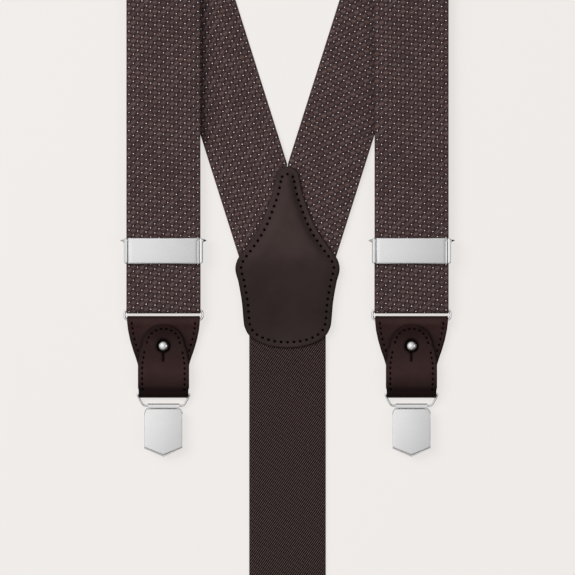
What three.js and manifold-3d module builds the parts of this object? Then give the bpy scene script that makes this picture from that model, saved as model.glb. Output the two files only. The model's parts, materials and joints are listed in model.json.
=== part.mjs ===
// Y-back suspenders laid flat, face up: two woven front straps that loop over the shoulders and meet
// under a leather yoke, one elastic back strap, and three button-and-clip ends. Millimetres, +Z up.
// The origin is on the yoke's back face, on the centre line, at the yoke's widest level.
import * as THREE from 'three';
import { mergeVertices } from 'three/addons/utils/BufferGeometryUtils.js';
import Module from 'manifold-3d';

const wasm = await Module();
wasm.setup();

// ---- driving dimensions -------------------------------------------------------------------------
const WEBBING_WIDTH = 35;
const WEBBING_THICKNESS = 0.8;
const ELASTIC_WIDTH = 36.2;
const ELASTIC_THICKNESS = 1.0;
const LEATHER_THICKNESS = 1.0;
const GAP = 0.3;

// heights of the layers' middle planes above the table
const Z_DIAGONAL = 0.5;
const Z_RETURN = 1.6;
const Z_MAIN = 4.8;
const Z_YOKE_LAYER = 1.5;
const Z_BACK_LEATHER = 1.0;
const Z_FRONT_LEATHER = 2.3;
const Z_FLAP = 3.8;
const YOKE_FRONT_Z = 2.3;
const YOKE_LINING_THICKNESS = 0.8;

// plan of the straps
const FRONT_STRAP_X = 58.6;
const FRONT_END_Y = -20.6;
const BACK_END_Y = -267;
const DIAGONAL_ANGLE = THREE.MathUtils.degToRad(17.5);
const DIAGONAL_MEETING_Y = 49.7;
const LOOP_RADIUS = 28;
const TWIST_LENGTH = 114;
const STANDING_Z = WEBBING_WIDTH / 2 + GAP;
const ELASTIC_TOP_Y = 2.7;

// adjuster: a frame with two lipped arms, a pin and a gripping lever
const ADJUSTER_Y = 9;
const ADJUSTER_HALF_HEIGHT = 6.05;
const ARM_OUTSIDE = 18.8;
const ARM_WALL = 1.0;
const ARM_FOOT_Z = 2.3;
const ARM_TOP_Z = 7.05;
const LIP_INSIDE = 17.0;
const LIP_THICKNESS = 0.4;
const PIN_Y = 4.85;
const PIN_Z = 6.1;
const PIN_RADIUS = 0.45;
const LEVER_HALF_WIDTH = 16.8;
const LEVER_FACE_Z = 6.6;
const LEVER_TOP_Z = 7.2;
const LEVER_SHEET = 0.6;
const TOOTH_COUNT = 14;

// ends
const RING_WIRE = 0.65;
const CLIP_RING_WIRE = 0.55;
const RING_Z = 3.2;
const RING_UPPER_Y = 1.65;
const RING_LOWER_Y = -2.95;
const STRAP_FOLD_Y = 2.0;
const CROSSBAR_LOOP_RADIUS = 1.05;
const CROSSBAR_SEWN_LENGTH = 12;
const ELASTIC_TURN_IN = 24;
const TAB_FOLD_RADIUS = 1.35;
const FLAP_ARCH_RADIUS = 9.6;
const FLAP_ARCH_Y = -14.9;
const KEYHOLE_RADIUS = 2.85;
const SLIT_HALF_WIDTH = 0.45;
const SLIT_END_Y = -22.4;
const CLIP_BAR_Y = -38.0;
const CLIP_BAR_Z = (Z_BACK_LEATHER + Z_FLAP) / 2;
const STUD_Y = -15.3;
const SHANK_HOLE_RADIUS = 1.3;
const RIVET_RADIUS = 2.3;
const RIVET_THICKNESS = 0.2;
const BARREL_Y = -43.65;
const BARREL_Z = 1.6;
const AXLE_Y = -47.0;
const AXLE_Z = 3.3;
const AXLE_RADIUS = 0.6;
const AXLE_HOLE_RADIUS = 0.85;
const CLIP_CORNER_Y = -63.8;
const CLIP_TIP_Y = -67.4;
const CLIP_HALF_WIDTH = 8.95;
const CLIP_BACK_HALF_WIDTH = 8.3;
const CLIP_JAW_HALF_WIDTH = 6.9;
const CLIP_SHEET = 0.6;
const CLIP_COVER_Z = 4.95;
const CLIP_BACK_Z = 0.3;
const CLIP_BACK_SHEET = 0.7;
const CLIP_LIP_TOP_Z = 2.1;
const CLIP_JAW_Z = 2.7;
const CLIP_TOOTH_DEPTH = 0.35;
const CLIP_RING_CORNER_X = 9.6;
const CLIP_RING_BAR_X = 12.95;
const CLIP_RING_END_X = 5.5;
const BARREL_RADIUS = 1.15;
const BARREL_BORE_RADIUS = 0.8;
const BARREL_HALF_WIDTH = 7.4;
const EAR_RADIUS = 1.2;
const EAR_INSIDE_X = 7.3;
const EAR_OUTSIDE_X = 8.0;

const CHROME = { color: 0xd8d8da, roughness: 0.15, metalness: 1 };
const LEATHER = { color: 0x32241f, roughness: 0.55, metalness: 0 };
const WOVEN = { color: 0x403031, roughness: 0.8, metalness: 0 };
const TWILL = { color: 0x312726, roughness: 0.85, metalness: 0 };

const suspenders = new THREE.Group();

// ---- solids: joining and cutting ----------------------------------------------------------------
function toSolid(geometry) {
  const bare = geometry.index ? geometry.clone() : geometry;
  bare.deleteAttribute('normal');
  bare.deleteAttribute('uv');
  const merged = mergeVertices(bare, 1e-4);
  const mesh = new wasm.Mesh({
    numProp: 3,
    vertProperties: new Float32Array(merged.attributes.position.array),
    triVerts: new Uint32Array(merged.index.array),
  });
  return new wasm.Manifold(mesh);
}

function toGeometry(solid) {
  const mesh = solid.getMesh();
  const geometry = new THREE.BufferGeometry();
  geometry.setAttribute('position', new THREE.BufferAttribute(new Float32Array(mesh.vertProperties), 3));
  geometry.setIndex(new THREE.BufferAttribute(new Uint32Array(mesh.triVerts), 1));
  return geometry;
}

function join(...geometries) {
  return toGeometry(geometries.map(toSolid).reduce((a, b) => a.add(b)));
}

function cut(geometry, ...tools) {
  return toGeometry(tools.map(toSolid).reduce((a, b) => a.subtract(b), toSolid(geometry)));
}

function common(a, b) {
  return toGeometry(toSolid(a).intersect(toSolid(b)));
}

// ---- plain building blocks ----------------------------------------------------------------------
function block(x0, x1, y0, y1, z0, z1) {
  const box = new THREE.BoxGeometry(x1 - x0, y1 - y0, z1 - z0);
  return box.translate((x0 + x1) / 2, (y0 + y1) / 2, (z0 + z1) / 2);
}

// a flat plate: an outline in X and Y, given a thickness upwards from z0
function plate(shape, z0, thickness, segments = 6) {
  const options = { depth: thickness, bevelEnabled: false, curveSegments: segments };
  return new THREE.ExtrudeGeometry(shape, options).translate(0, 0, z0);
}

// a side view in Y and Z, extruded along X between x0 and x1
function sideways(shape, x0, x1, segments = 6) {
  const options = { depth: x1 - x0, bevelEnabled: false, curveSegments: segments };
  const geometry = new THREE.ExtrudeGeometry(shape, options);
  const toYZX = new THREE.Matrix4().set(0, 0, 1, x0, 1, 0, 0, 0, 0, 1, 0, 0, 0, 0, 0, 1);
  return geometry.applyMatrix4(toYZX);
}

function rodAlongX(radius, x0, x1, y, z, sides = 12) {
  const rod = new THREE.CylinderGeometry(radius, radius, x1 - x0, sides);
  return rod.rotateZ(Math.PI / 2).translate((x0 + x1) / 2, y, z);
}

function post(radius, z0, z1, x, y, sides = 16) {
  const cylinder = new THREE.CylinderGeometry(radius, radius, z1 - z0, sides);
  return cylinder.rotateX(Math.PI / 2).translate(x, y, (z0 + z1) / 2);
}

function outline(points) {
  return new THREE.Shape(points.map(([x, y]) => new THREE.Vector2(x, y)));
}

// points on an arc, in degrees
function arc(cx, cy, radius, from, to, steps) {
  return Array.from({ length: steps + 1 }, (_, i) => {
    const angle = THREE.MathUtils.degToRad(from + ((to - from) * i) / steps);
    return [cx + radius * Math.cos(angle), cy + radius * Math.sin(angle)];
  });
}

// the closed outline of a sheet of even thickness whose middle line follows the points
function band(points, thickness) {
  const middle = points.map(([x, y]) => new THREE.Vector2(x, y));
  const normals = middle.map((_, i) => {
    const before = middle[Math.max(i - 1, 0)];
    const after = middle[Math.min(i + 1, middle.length - 1)];
    const along = after.clone().sub(before).normalize();
    return new THREE.Vector2(-along.y, along.x);
  });
  const offset = (side) => middle.map((p, i) => p.clone().addScaledVector(normals[i], side * thickness / 2));
  return new THREE.Shape([...offset(-1), ...offset(1).reverse()]);
}

// a prism of one section swept through stations, each with a place, a side, a heading and a normal
function sweep(section, stations) {
  const count = stations.length - 1;
  const position = section.attributes.position;
  for (let i = 0; i < position.count; i += 1) {
    const station = stations[Math.round((position.getY(i) + 0.5) * count)];
    const point = station.place.clone()
      .addScaledVector(station.side, position.getX(i))
      .addScaledVector(station.normal, position.getZ(i));
    position.setXYZ(i, point.x, point.y, point.z);
  }
  return section;
}

// a round wire through points, its corners rounded
function wire(points, radius, cornerRadius, cornerSteps = 4) {
  const knots = points.map((p) => new THREE.Vector3(...p));
  const path = [knots[0]];
  for (let i = 1; i < knots.length - 1; i += 1) {
    const start = knots[i].clone().add(knots[i - 1].clone().sub(knots[i]).setLength(cornerRadius));
    const end = knots[i].clone().add(knots[i + 1].clone().sub(knots[i]).setLength(cornerRadius));
    path.push(...new THREE.QuadraticBezierCurve3(start, knots[i], end).getPoints(cornerSteps));
  }
  path.push(knots[knots.length - 1]);
  const up = new THREE.Vector3(0, 0, 1);
  const stations = path.map((place, i) => {
    const before = path[Math.max(i - 1, 0)];
    const after = path[Math.min(i + 1, path.length - 1)];
    const heading = after.clone().sub(before).normalize();
    const side = heading.clone().cross(up).normalize();
    return { place, side, normal: side.clone().cross(heading) };
  });
  return sweep(new THREE.CylinderGeometry(radius, radius, 1, 8, stations.length - 1), stations);
}

function add(group, name, geometry, finish) {
  const mesh = new THREE.Mesh(geometry, new THREE.MeshStandardMaterial(finish));
  mesh.name = name;
  group.add(mesh);
  return mesh;
}

// ---- front straps: ring, shoulder loop standing on edge, diagonal, yoke --------------------------
function shoulderStrap() {
  const heading = new THREE.Vector2(Math.sin(DIAGONAL_ANGLE), -Math.cos(DIAGONAL_ANGLE));
  const outboard = new THREE.Vector2(heading.y, -heading.x);
  const meeting = new THREE.Vector2(0, DIAGONAL_MEETING_Y);
  const onDiagonal = meeting.clone().addScaledVector(outboard, WEBBING_WIDTH / 2);
  const loopX = -FRONT_STRAP_X - LOOP_RADIUS;
  const across = -outboard.dot(onDiagonal) + LOOP_RADIUS;
  const loopY = (across + outboard.x * loopX) / -outboard.y;
  const loopTurn = Math.PI + DIAGONAL_ANGLE;
  const stations = [];

  const put = (x, y, direction, roll, z) => {
    const right = new THREE.Vector3(direction.y, -direction.x, 0);
    const up = new THREE.Vector3(0, 0, 1);
    const side = right.clone().multiplyScalar(Math.cos(roll)).addScaledVector(up, -Math.sin(roll));
    const normal = up.clone().multiplyScalar(Math.cos(roll)).addScaledVector(right, Math.sin(roll));
    const lift = Math.sin(roll);
    const place = new THREE.Vector3(x, y, z * (1 - lift) + STANDING_Z * lift);
    stations.push({ place, side, normal });
  };
  const rollAt = (t) => (Math.PI / 2) * THREE.MathUtils.smoothstep(t, 0, 1);

  const up = new THREE.Vector2(0, 1);
  const twistSteps = 12;
  const loopSteps = 14;
  put(-FRONT_STRAP_X, FRONT_END_Y + STRAP_FOLD_Y + GAP, up, 0, Z_MAIN);
  for (let i = 0; i < twistSteps; i += 1) {
    const t = i / twistSteps;
    put(-FRONT_STRAP_X, loopY - TWIST_LENGTH * (1 - t), up, rollAt(t), Z_MAIN);
  }
  for (let i = 0; i <= loopSteps; i += 1) {
    const angle = (loopTurn * i) / loopSteps;
    const direction = new THREE.Vector2(-Math.sin(angle), Math.cos(angle));
    put(loopX + LOOP_RADIUS * Math.cos(angle), loopY + LOOP_RADIUS * Math.sin(angle), direction,
      Math.PI / 2, Z_MAIN);
  }
  const left = new THREE.Vector2(Math.cos(loopTurn), Math.sin(loopTurn)).multiplyScalar(LOOP_RADIUS);
  left.add(new THREE.Vector2(loopX, loopY));
  const downDiagonal = (distance, roll, z) => {
    put(left.x + heading.x * distance, left.y + heading.y * distance, heading, roll, z);
  };
  for (let i = 1; i <= twistSteps; i += 1) {
    const t = i / twistSteps;
    downDiagonal(TWIST_LENGTH * t, rollAt(1 - t), Z_DIAGONAL);
  }
  const toYoke = left.distanceTo(onDiagonal);
  const [climbStart, climbEnd, underYoke] = [toYoke - 30, toYoke - 8, toYoke + 75];
  downDiagonal(climbStart, 0, Z_DIAGONAL);
  downDiagonal(climbEnd, 0, Z_YOKE_LAYER);
  downDiagonal(underYoke, 0, Z_YOKE_LAYER);
  const section = new THREE.BoxGeometry(WEBBING_WIDTH, 1, WEBBING_THICKNESS, 1, stations.length - 1, 1);
  // under the yoke, the strap is cut along the centre line and above the end of the elastic
  const wide = 60;
  return cut(
    sweep(section, stations),
    block(-GAP / 2, wide, -wide, DIAGONAL_MEETING_Y + 10, -5, 10),
    block(-wide, wide, -80, ELASTIC_TOP_Y + GAP, -5, 3.5),
  );
}

function yokeOutline(scale) {
  const half = [
    [0, 48.9], [2.9, 48.1], [5.0, 45.9], [5.9, 42.2], [7.1, 36.4], [9.2, 30.2], [11.5, 24.1], [14.5, 18.2],
    [18.45, 12.3], [22.2, 7.3], [23.8, 4.6], [24.6, 1.8], [24.55, -0.8], [23.9, -3.4], [23.2, -5.9],
    [21.6, -15.1], [20.8, -24.1], [20.2, -27.2], [18.6, -30.4], [16.0, -32.8], [12.4, -34.7], [7, -36.3],
    [0, -36.9],
  ];
  const curve = new THREE.SplineCurve(half.map(([x, y]) => new THREE.Vector2(x * scale, y * scale)));
  const right = curve.getSpacedPoints(44);
  const left = right.slice(1, -1).reverse().map((p) => new THREE.Vector2(-p.x, p.y));
  return new THREE.Shape([...right, ...left].reverse());
}

function buildStraps() {
  const left = shoulderStrap();
  add(suspenders, 'front_strap_left', left, WOVEN);
  const mirror = new THREE.Matrix4().makeScale(-1, 1, 1);
  const right = left.clone().applyMatrix4(mirror);
  const index = right.index.array;
  for (let i = 0; i < index.length; i += 3) {
    [index[i], index[i + 1]] = [index[i + 1], index[i]];
  }
  add(suspenders, 'front_strap_right', right, WOVEN);
  add(suspenders, 'yoke_front_leather', plate(yokeOutline(1), YOKE_FRONT_Z, LEATHER_THICKNESS), LEATHER);
  add(suspenders, 'yoke_back_leather', plate(yokeOutline(0.988), 0, YOKE_LINING_THICKNESS), LEATHER);
  // the elastic leaves the yoke, lies on the table, and climbs to the ring
  const flatZ = 0.6;
  const route = [
    [ELASTIC_TOP_Y, Z_YOKE_LAYER], [-38, Z_YOKE_LAYER], [-58, flatZ], [BACK_END_Y + 42, flatZ],
    [BACK_END_Y + 12, Z_MAIN], [BACK_END_Y + STRAP_FOLD_Y + GAP, Z_MAIN],
  ];
  const elastic = sideways(band(route, ELASTIC_THICKNESS), -ELASTIC_WIDTH / 2, ELASTIC_WIDTH / 2);
  add(suspenders, 'back_elastic', elastic, TWILL);
}

// ---- adjuster: frame, pivot pin and toothed lever -------------------------------------------------
function buildAdjuster(side, x) {
  const group = new THREE.Group();
  group.position.set(x, ADJUSTER_Y, 0);
  suspenders.add(group);
  const h = ADJUSTER_HALF_HEIGHT;
  const corner = 1.3;
  const plan = outline([
    ...arc(ARM_OUTSIDE - corner, h - corner, corner, 0, 90, 4),
    ...arc(corner - ARM_OUTSIDE, h - corner, corner, 90, 180, 4),
    ...arc(corner - ARM_OUTSIDE, corner - h, corner, 180, 270, 4),
    ...arc(ARM_OUTSIDE - corner, corner - h, corner, 270, 360, 4),
  ]);
  const crossbarHalf = 1.5;
  const crossbarThickness = 0.7;
  const parts = [
    block(-ARM_OUTSIDE, ARM_OUTSIDE, -crossbarHalf, crossbarHalf, ARM_FOOT_Z, ARM_FOOT_Z + crossbarThickness),
  ];
  for (const [near, far] of [[ARM_OUTSIDE - ARM_WALL, ARM_OUTSIDE], [-ARM_OUTSIDE, ARM_WALL - ARM_OUTSIDE]]) {
    parts.push(block(near, far, -h, h, ARM_FOOT_Z, ARM_TOP_Z));
  }
  for (const [near, far] of [[LIP_INSIDE, ARM_OUTSIDE], [-ARM_OUTSIDE, -LIP_INSIDE]]) {
    parts.push(block(near, far, -h, h, ARM_TOP_Z - LIP_THICKNESS, ARM_TOP_Z));
  }
  const frame = common(join(...parts), plate(plan, ARM_FOOT_Z, ARM_TOP_Z - ARM_FOOT_Z));
  const pinHole = rodAlongX(PIN_RADIUS + 0.05, -25, 25, PIN_Y, PIN_Z);
  add(group, `adjuster_frame_${side}`, cut(frame, pinHole), CHROME);

  // the pin's ends are swaged into small cones outside the arms
  const [tip, tipRadius, coneRadius, coneBase] = [20.3, 0.2, 1.1, ARM_OUTSIDE + 0.1];
  const profile = [
    [0, -tip], [tipRadius, -tip], [coneRadius, -coneBase], [PIN_RADIUS, -coneBase],
    [PIN_RADIUS, coneBase], [coneRadius, coneBase], [tipRadius, tip], [0, tip],
  ];
  const pin = new THREE.LatheGeometry(profile.map(([r, y]) => new THREE.Vector2(r, y)), 12);
  add(group, `adjuster_pin_${side}`, pin.rotateZ(Math.PI / 2).translate(0, PIN_Y, PIN_Z), CHROME);

  const half = LEVER_HALF_WIDTH;
  const face = block(-half, half, -h, h, LEVER_FACE_Z, LEVER_TOP_Z);
  const eye = 0.8;
  const toothRoot = 6.0;
  const toothTip = 5.5;
  const flangeTop = LEVER_TOP_Z - 0.2;
  const flange = new THREE.Shape();
  flange.moveTo(-h, flangeTop).lineTo(-h, toothTip).lineTo(PIN_Y, PIN_Z - eye);
  flange.absarc(PIN_Y, PIN_Z, eye, -Math.PI / 2, 0, false);
  flange.lineTo(PIN_Y + eye, flangeTop);
  const rowHalf = half - 1;
  const pitch = (2 * rowHalf) / TOOTH_COUNT;
  const teeth = [[-rowHalf, LEVER_FACE_Z + 0.2]];
  for (let i = 0; i < TOOTH_COUNT; i += 1) {
    teeth.push([-rowHalf + pitch * i, toothRoot], [-rowHalf + pitch * (i + 0.5), toothTip]);
  }
  teeth.push([rowHalf, toothRoot], [rowHalf, LEVER_FACE_Z + 0.2]);
  const toothRow = new THREE.ExtrudeGeometry(outline(teeth), { depth: LEVER_SHEET, bevelEnabled: false });
  toothRow.rotateX(Math.PI / 2).translate(0, -h + LEVER_SHEET, 0);
  const lever = join(
    face,
    sideways(flange, -half, -half + LEVER_SHEET, 4),
    sideways(flange, half - LEVER_SHEET, half, 4),
    toothRow,
  );
  const leverEye = rodAlongX(PIN_RADIUS + 0.15, -25, 25, PIN_Y, PIN_Z);
  add(group, `adjuster_lever_${side}`, cut(lever, leverEye), CHROME);
}

// ---- one end: strap fold, ring, leather tab with buttoned flap, clip ring, clip -------------------
function tabOutline(top, bottom) {
  const half = [
    [17.25, top], [17.2, -4], [16.8, -7.8], [15.8, -12.6], [14.45, -17.2], [13.1, -21], [12.1, -24.3],
    [12.1, bottom],
  ];
  return outline([...half.map(([x, y]) => [-x, y]), ...half.reverse()]);
}

function flapOutline() {
  return outline([
    [-11.3, -45], [11.3, -45], [11.3, -36.5], [12.05, -33], [12.05, -24.3], [10.9, -17.2],
    ...arc(0, FLAP_ARCH_Y, FLAP_ARCH_RADIUS, 0, 180, 14),
    [-10.9, -17.2], [-12.05, -24.3], [-12.05, -33], [-11.3, -36.5],
  ]);
}

function buildStrapFold(group, side, width, thickness) {
  const fold = arc(STRAP_FOLD_Y, (Z_MAIN + Z_RETURN) / 2, (Z_MAIN - Z_RETURN) / 2, 90, 270, 10);
  const crossbarY = ADJUSTER_Y - FRONT_END_Y;
  const sewn = side === 'back'
    ? [[ELASTIC_TURN_IN, Z_RETURN]]
    : [
      ...arc(crossbarY + 1.7, Z_RETURN + CROSSBAR_LOOP_RADIUS, CROSSBAR_LOOP_RADIUS, -90, 90, 6),
      [crossbarY - CROSSBAR_SEWN_LENGTH, Z_RETURN + 2 * CROSSBAR_LOOP_RADIUS],
    ];
  const profile = band([...fold, ...sewn], thickness);
  const name = `strap_end_${side}`;
  add(group, name, sideways(profile, -width / 2, width / 2), side === 'back' ? TWILL : WOVEN);
}

function buildRing(group, side, width) {
  const half = width / 2 + GAP + RING_WIRE;
  const butt = 0.4;
  const loop = wire([
    [butt, RING_LOWER_Y, RING_Z], [half, RING_LOWER_Y, RING_Z], [half, RING_UPPER_Y, RING_Z],
    [-half, RING_UPPER_Y, RING_Z], [-half, RING_LOWER_Y, RING_Z], [-butt, RING_LOWER_Y, RING_Z],
  ], RING_WIRE, 1.7);
  add(group, `ring_${side}`, loop, CHROME);
}

function buildTab(group, side) {
  const wide = 20;
  const shankHole = post(SHANK_HOLE_RADIUS, -1, 8, 0, STUD_Y, 12);
  const frontRoute = [
    [-35.5, Z_FRONT_LEATHER], [-8.8, Z_FRONT_LEATHER], [-6.5, 3.0], [-4.6, 4.2],
    ...arc(RING_LOWER_Y, RING_Z, TAB_FOLD_RADIUS, 90, -90, 8),
    [-4.6, RING_Z - TAB_FOLD_RADIUS], [-9, Z_BACK_LEATHER],
  ];
  const front = common(
    sideways(band(frontRoute, LEATHER_THICKNESS), -wide, wide),
    plate(tabOutline(0, -40), -2, 12),
  );
  add(group, `tab_front_${side}`, cut(front, shankHole), LEATHER);
  const back = common(
    sideways(band([[-9.4, Z_BACK_LEATHER], [-36.3, Z_BACK_LEATHER]], LEATHER_THICKNESS), -wide, wide),
    plate(tabOutline(0, -40), -2, 12),
  );
  add(group, `tab_back_${side}`, cut(back, shankHole), LEATHER);

  const flapRoute = [
    ...arc(CLIP_BAR_Y, CLIP_BAR_Z, (Z_FLAP - Z_BACK_LEATHER) / 2, 270, 90, 10),
    [-35.2, 4.1], [-31.5, 4.6], [-27.5, 4.6], [-22.5, 4.0], [-17, Z_FLAP],
    [-10.8, Z_FLAP], [-8.4, 4.3], [-6.3, 5.1], [-4, 6.6],
  ];
  const flap = common(
    sideways(band(flapRoute, LEATHER_THICKNESS), -wide, wide),
    plate(flapOutline(), -2, 12),
  );
  const keyhole = join(
    post(KEYHOLE_RADIUS, 2, 8, 0, STUD_Y, 20),
    block(-SLIT_HALF_WIDTH, SLIT_HALF_WIDTH, SLIT_END_Y, STUD_Y - 2, 2, 8),
  );
  add(group, `tab_flap_${side}`, cut(flap, keyhole), LEATHER);

  const studProfile = [
    [0, 0.95], [0.95, 0.95], [0.95, 2.95], [2.1, 3.05], [2.1, 3.35], [1.3, 3.5], [1.3, 4.3],
    [2.2, 4.45], [2.35, 4.9], [2.1, 5.4], [1.45, 5.85], [0.7, 6.05], [0, 6.1],
  ];
  const stud = new THREE.LatheGeometry(studProfile.map(([r, z]) => new THREE.Vector2(r, z)), 16);
  add(group, `stud_${side}`, stud.rotateX(Math.PI / 2).translate(0, STUD_Y, 0), CHROME);
  add(group, `stud_rivet_${side}`, post(RIVET_RADIUS, 0, RIVET_THICKNESS, 0, STUD_Y), CHROME);
}

function buildClipRing(group, side) {
  const slope = (y) => THREE.MathUtils.mapLinear(y, CLIP_BAR_Y, BARREL_Y, CLIP_BAR_Z, BARREL_Z);
  const corners = [
    [CLIP_RING_END_X, BARREL_Y], [CLIP_RING_CORNER_X, BARREL_Y], [CLIP_RING_BAR_X, CLIP_BAR_Y],
  ];
  const half = corners.map(([x, y]) => [x, y, slope(y)]);
  const mirrored = [...half].reverse().map(([x, y, z]) => [-x, y, z]);
  add(group, `clip_ring_${side}`, wire([...half, ...mirrored], CLIP_RING_WIRE, 1.1), CHROME);
}

// a plate with chamfered upper corners and a pointed, toothed foot
function clipOutline({ half, chamfer, top, shoulder, corner, tip, teeth }) {
  const lower = [];
  for (let i = 1; i < teeth * 2; i += 1) {
    const t = i / (teeth * 2);
    lower.push([-half * (1 - t), corner + (tip - corner) * t + (i % 2 ? CLIP_TOOTH_DEPTH : 0)]);
  }
  const left = [[-half + chamfer, top], [-half, shoulder], [-half, corner], ...lower];
  const right = [...left].reverse().map(([x, y]) => [-x, y]);
  return outline([...left, [0, tip], ...right]);
}

function buildClip(group, side) {
  const axleHole = rodAlongX(AXLE_HOLE_RADIUS, -12, 12, AXLE_Y, AXLE_Z);
  const chamfer = 2.15;

  const barrel = cut(
    rodAlongX(BARREL_RADIUS, -BARREL_HALF_WIDTH, BARREL_HALF_WIDTH, BARREL_Y, BARREL_Z, 14),
    rodAlongX(BARREL_BORE_RADIUS, -9, 9, BARREL_Y, BARREL_Z, 12),
  );
  const backHalf = CLIP_BACK_HALF_WIDTH;
  const backCorner = CLIP_CORNER_Y - 0.4;
  const backTip = CLIP_TIP_Y - 0.5;
  const backShape = { half: backHalf, chamfer, corner: backCorner, tip: backTip, teeth: 7 };
  const backOutline = clipOutline({ ...backShape, top: -44.9, shoulder: -46.4 });
  const backPlate = plate(backOutline, CLIP_BACK_Z, CLIP_BACK_SHEET);
  const neck = block(-6, 6, -45.2, BARREL_Y - 0.85, 0.5, CLIP_BACK_Z + CLIP_BACK_SHEET);
  const hollow = { half: 7.6, chamfer, top: -50, shoulder: -51, corner: CLIP_CORNER_Y };
  const lip = cut(
    plate(clipOutline({ ...backShape, top: -60, shoulder: -61 }), 0.6, CLIP_LIP_TOP_Z - 0.6),
    plate(clipOutline({ ...hollow, tip: CLIP_TIP_Y + 0.3, teeth: 1 }), 0, 5),
  );
  const ear = new THREE.Shape();
  ear.moveTo(-51, 0.5).lineTo(-46.9, 0.5).lineTo(AXLE_Y + EAR_RADIUS, AXLE_Z - 0.6);
  ear.absarc(AXLE_Y, AXLE_Z, EAR_RADIUS, 0, Math.PI, false);
  ear.lineTo(-51, 1.6);
  const ears = [
    sideways(ear, -EAR_OUTSIDE_X, -EAR_INSIDE_X, 8),
    sideways(ear, EAR_INSIDE_X, EAR_OUTSIDE_X, 8),
  ];
  add(group, `clip_back_${side}`, cut(join(backPlate, neck, barrel, lip, ...ears), axleHole), CHROME);

  add(group, `clip_axle_${side}`, rodAlongX(AXLE_RADIUS, -9.1, 9.1, AXLE_Y, AXLE_Z), CHROME);

  const jawHalf = CLIP_JAW_HALF_WIDTH;
  const jawRoute = [[AXLE_Y - 0.4, AXLE_Z], [-50.5, 2.9], [-53, CLIP_JAW_Z], [-70, CLIP_JAW_Z]];
  const jawShape = { half: jawHalf, chamfer, top: -40, shoulder: -41, corner: CLIP_CORNER_Y - 0.2 };
  const jawPlate = common(
    sideways(band(jawRoute, CLIP_SHEET), -jawHalf, jawHalf),
    plate(clipOutline({ ...jawShape, tip: CLIP_TIP_Y + 0.8, teeth: 6 }), -2, 12),
  );
  const jaw = cut(join(jawPlate, rodAlongX(EAR_RADIUS, -jawHalf, jawHalf, AXLE_Y, AXLE_Z, 14)), axleHole);
  add(group, `clip_jaw_${side}`, jaw, CHROME);

  const half = CLIP_HALF_WIDTH;
  const coverRoute = [
    [-45.2, 4.2], [-45.6, 4.65], [-46.4, CLIP_COVER_Z], [-50, CLIP_COVER_Z], [CLIP_TIP_Y - 1, CLIP_COVER_Z],
  ];
  const coverShape = { half, chamfer: 0.8, top: -44.8, shoulder: -47, corner: CLIP_CORNER_Y };
  const cover = common(
    sideways(band(coverRoute, CLIP_SHEET), -half, half),
    plate(clipOutline({ ...coverShape, tip: CLIP_TIP_Y, teeth: 1 }), -2, 12),
  );
  const wing = new THREE.Shape();
  wing.moveTo(CLIP_CORNER_Y + 0.4, CLIP_COVER_Z).lineTo(CLIP_CORNER_Y + 0.4, 4.2).lineTo(-51, 4.0);
  wing.lineTo(-48.5, AXLE_Z - 0.3);
  wing.absarc(AXLE_Y, AXLE_Z, EAR_RADIUS, Math.PI * 1.1, Math.PI * 2, false);
  wing.lineTo(AXLE_Y + 0.6, CLIP_COVER_Z);
  const wings = [sideways(wing, -half, -half + CLIP_SHEET), sideways(wing, half - CLIP_SHEET, half)];
  add(group, `clip_cover_${side}`, cut(join(cover, ...wings), axleHole), CHROME);
}

function buildEnd(side, x, y, width, thickness) {
  const group = new THREE.Group();
  group.position.set(x, y, 0);
  suspenders.add(group);
  buildStrapFold(group, side, width, thickness);
  buildRing(group, side, width);
  buildTab(group, side);
  buildClipRing(group, side);
  buildClip(group, side);
}

buildStraps();
buildAdjuster('left', -FRONT_STRAP_X);
buildAdjuster('right', FRONT_STRAP_X);
buildEnd('left', -FRONT_STRAP_X, FRONT_END_Y, WEBBING_WIDTH, WEBBING_THICKNESS);
buildEnd('right', FRONT_STRAP_X, FRONT_END_Y, WEBBING_WIDTH, WEBBING_THICKNESS);
buildEnd('back', 0, BACK_END_Y, ELASTIC_WIDTH, ELASTIC_THICKNESS);

export default suspenders;
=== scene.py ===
"""Y-back suspenders laid flat and face up: the looks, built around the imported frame. Metres, +Z up."""

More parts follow.
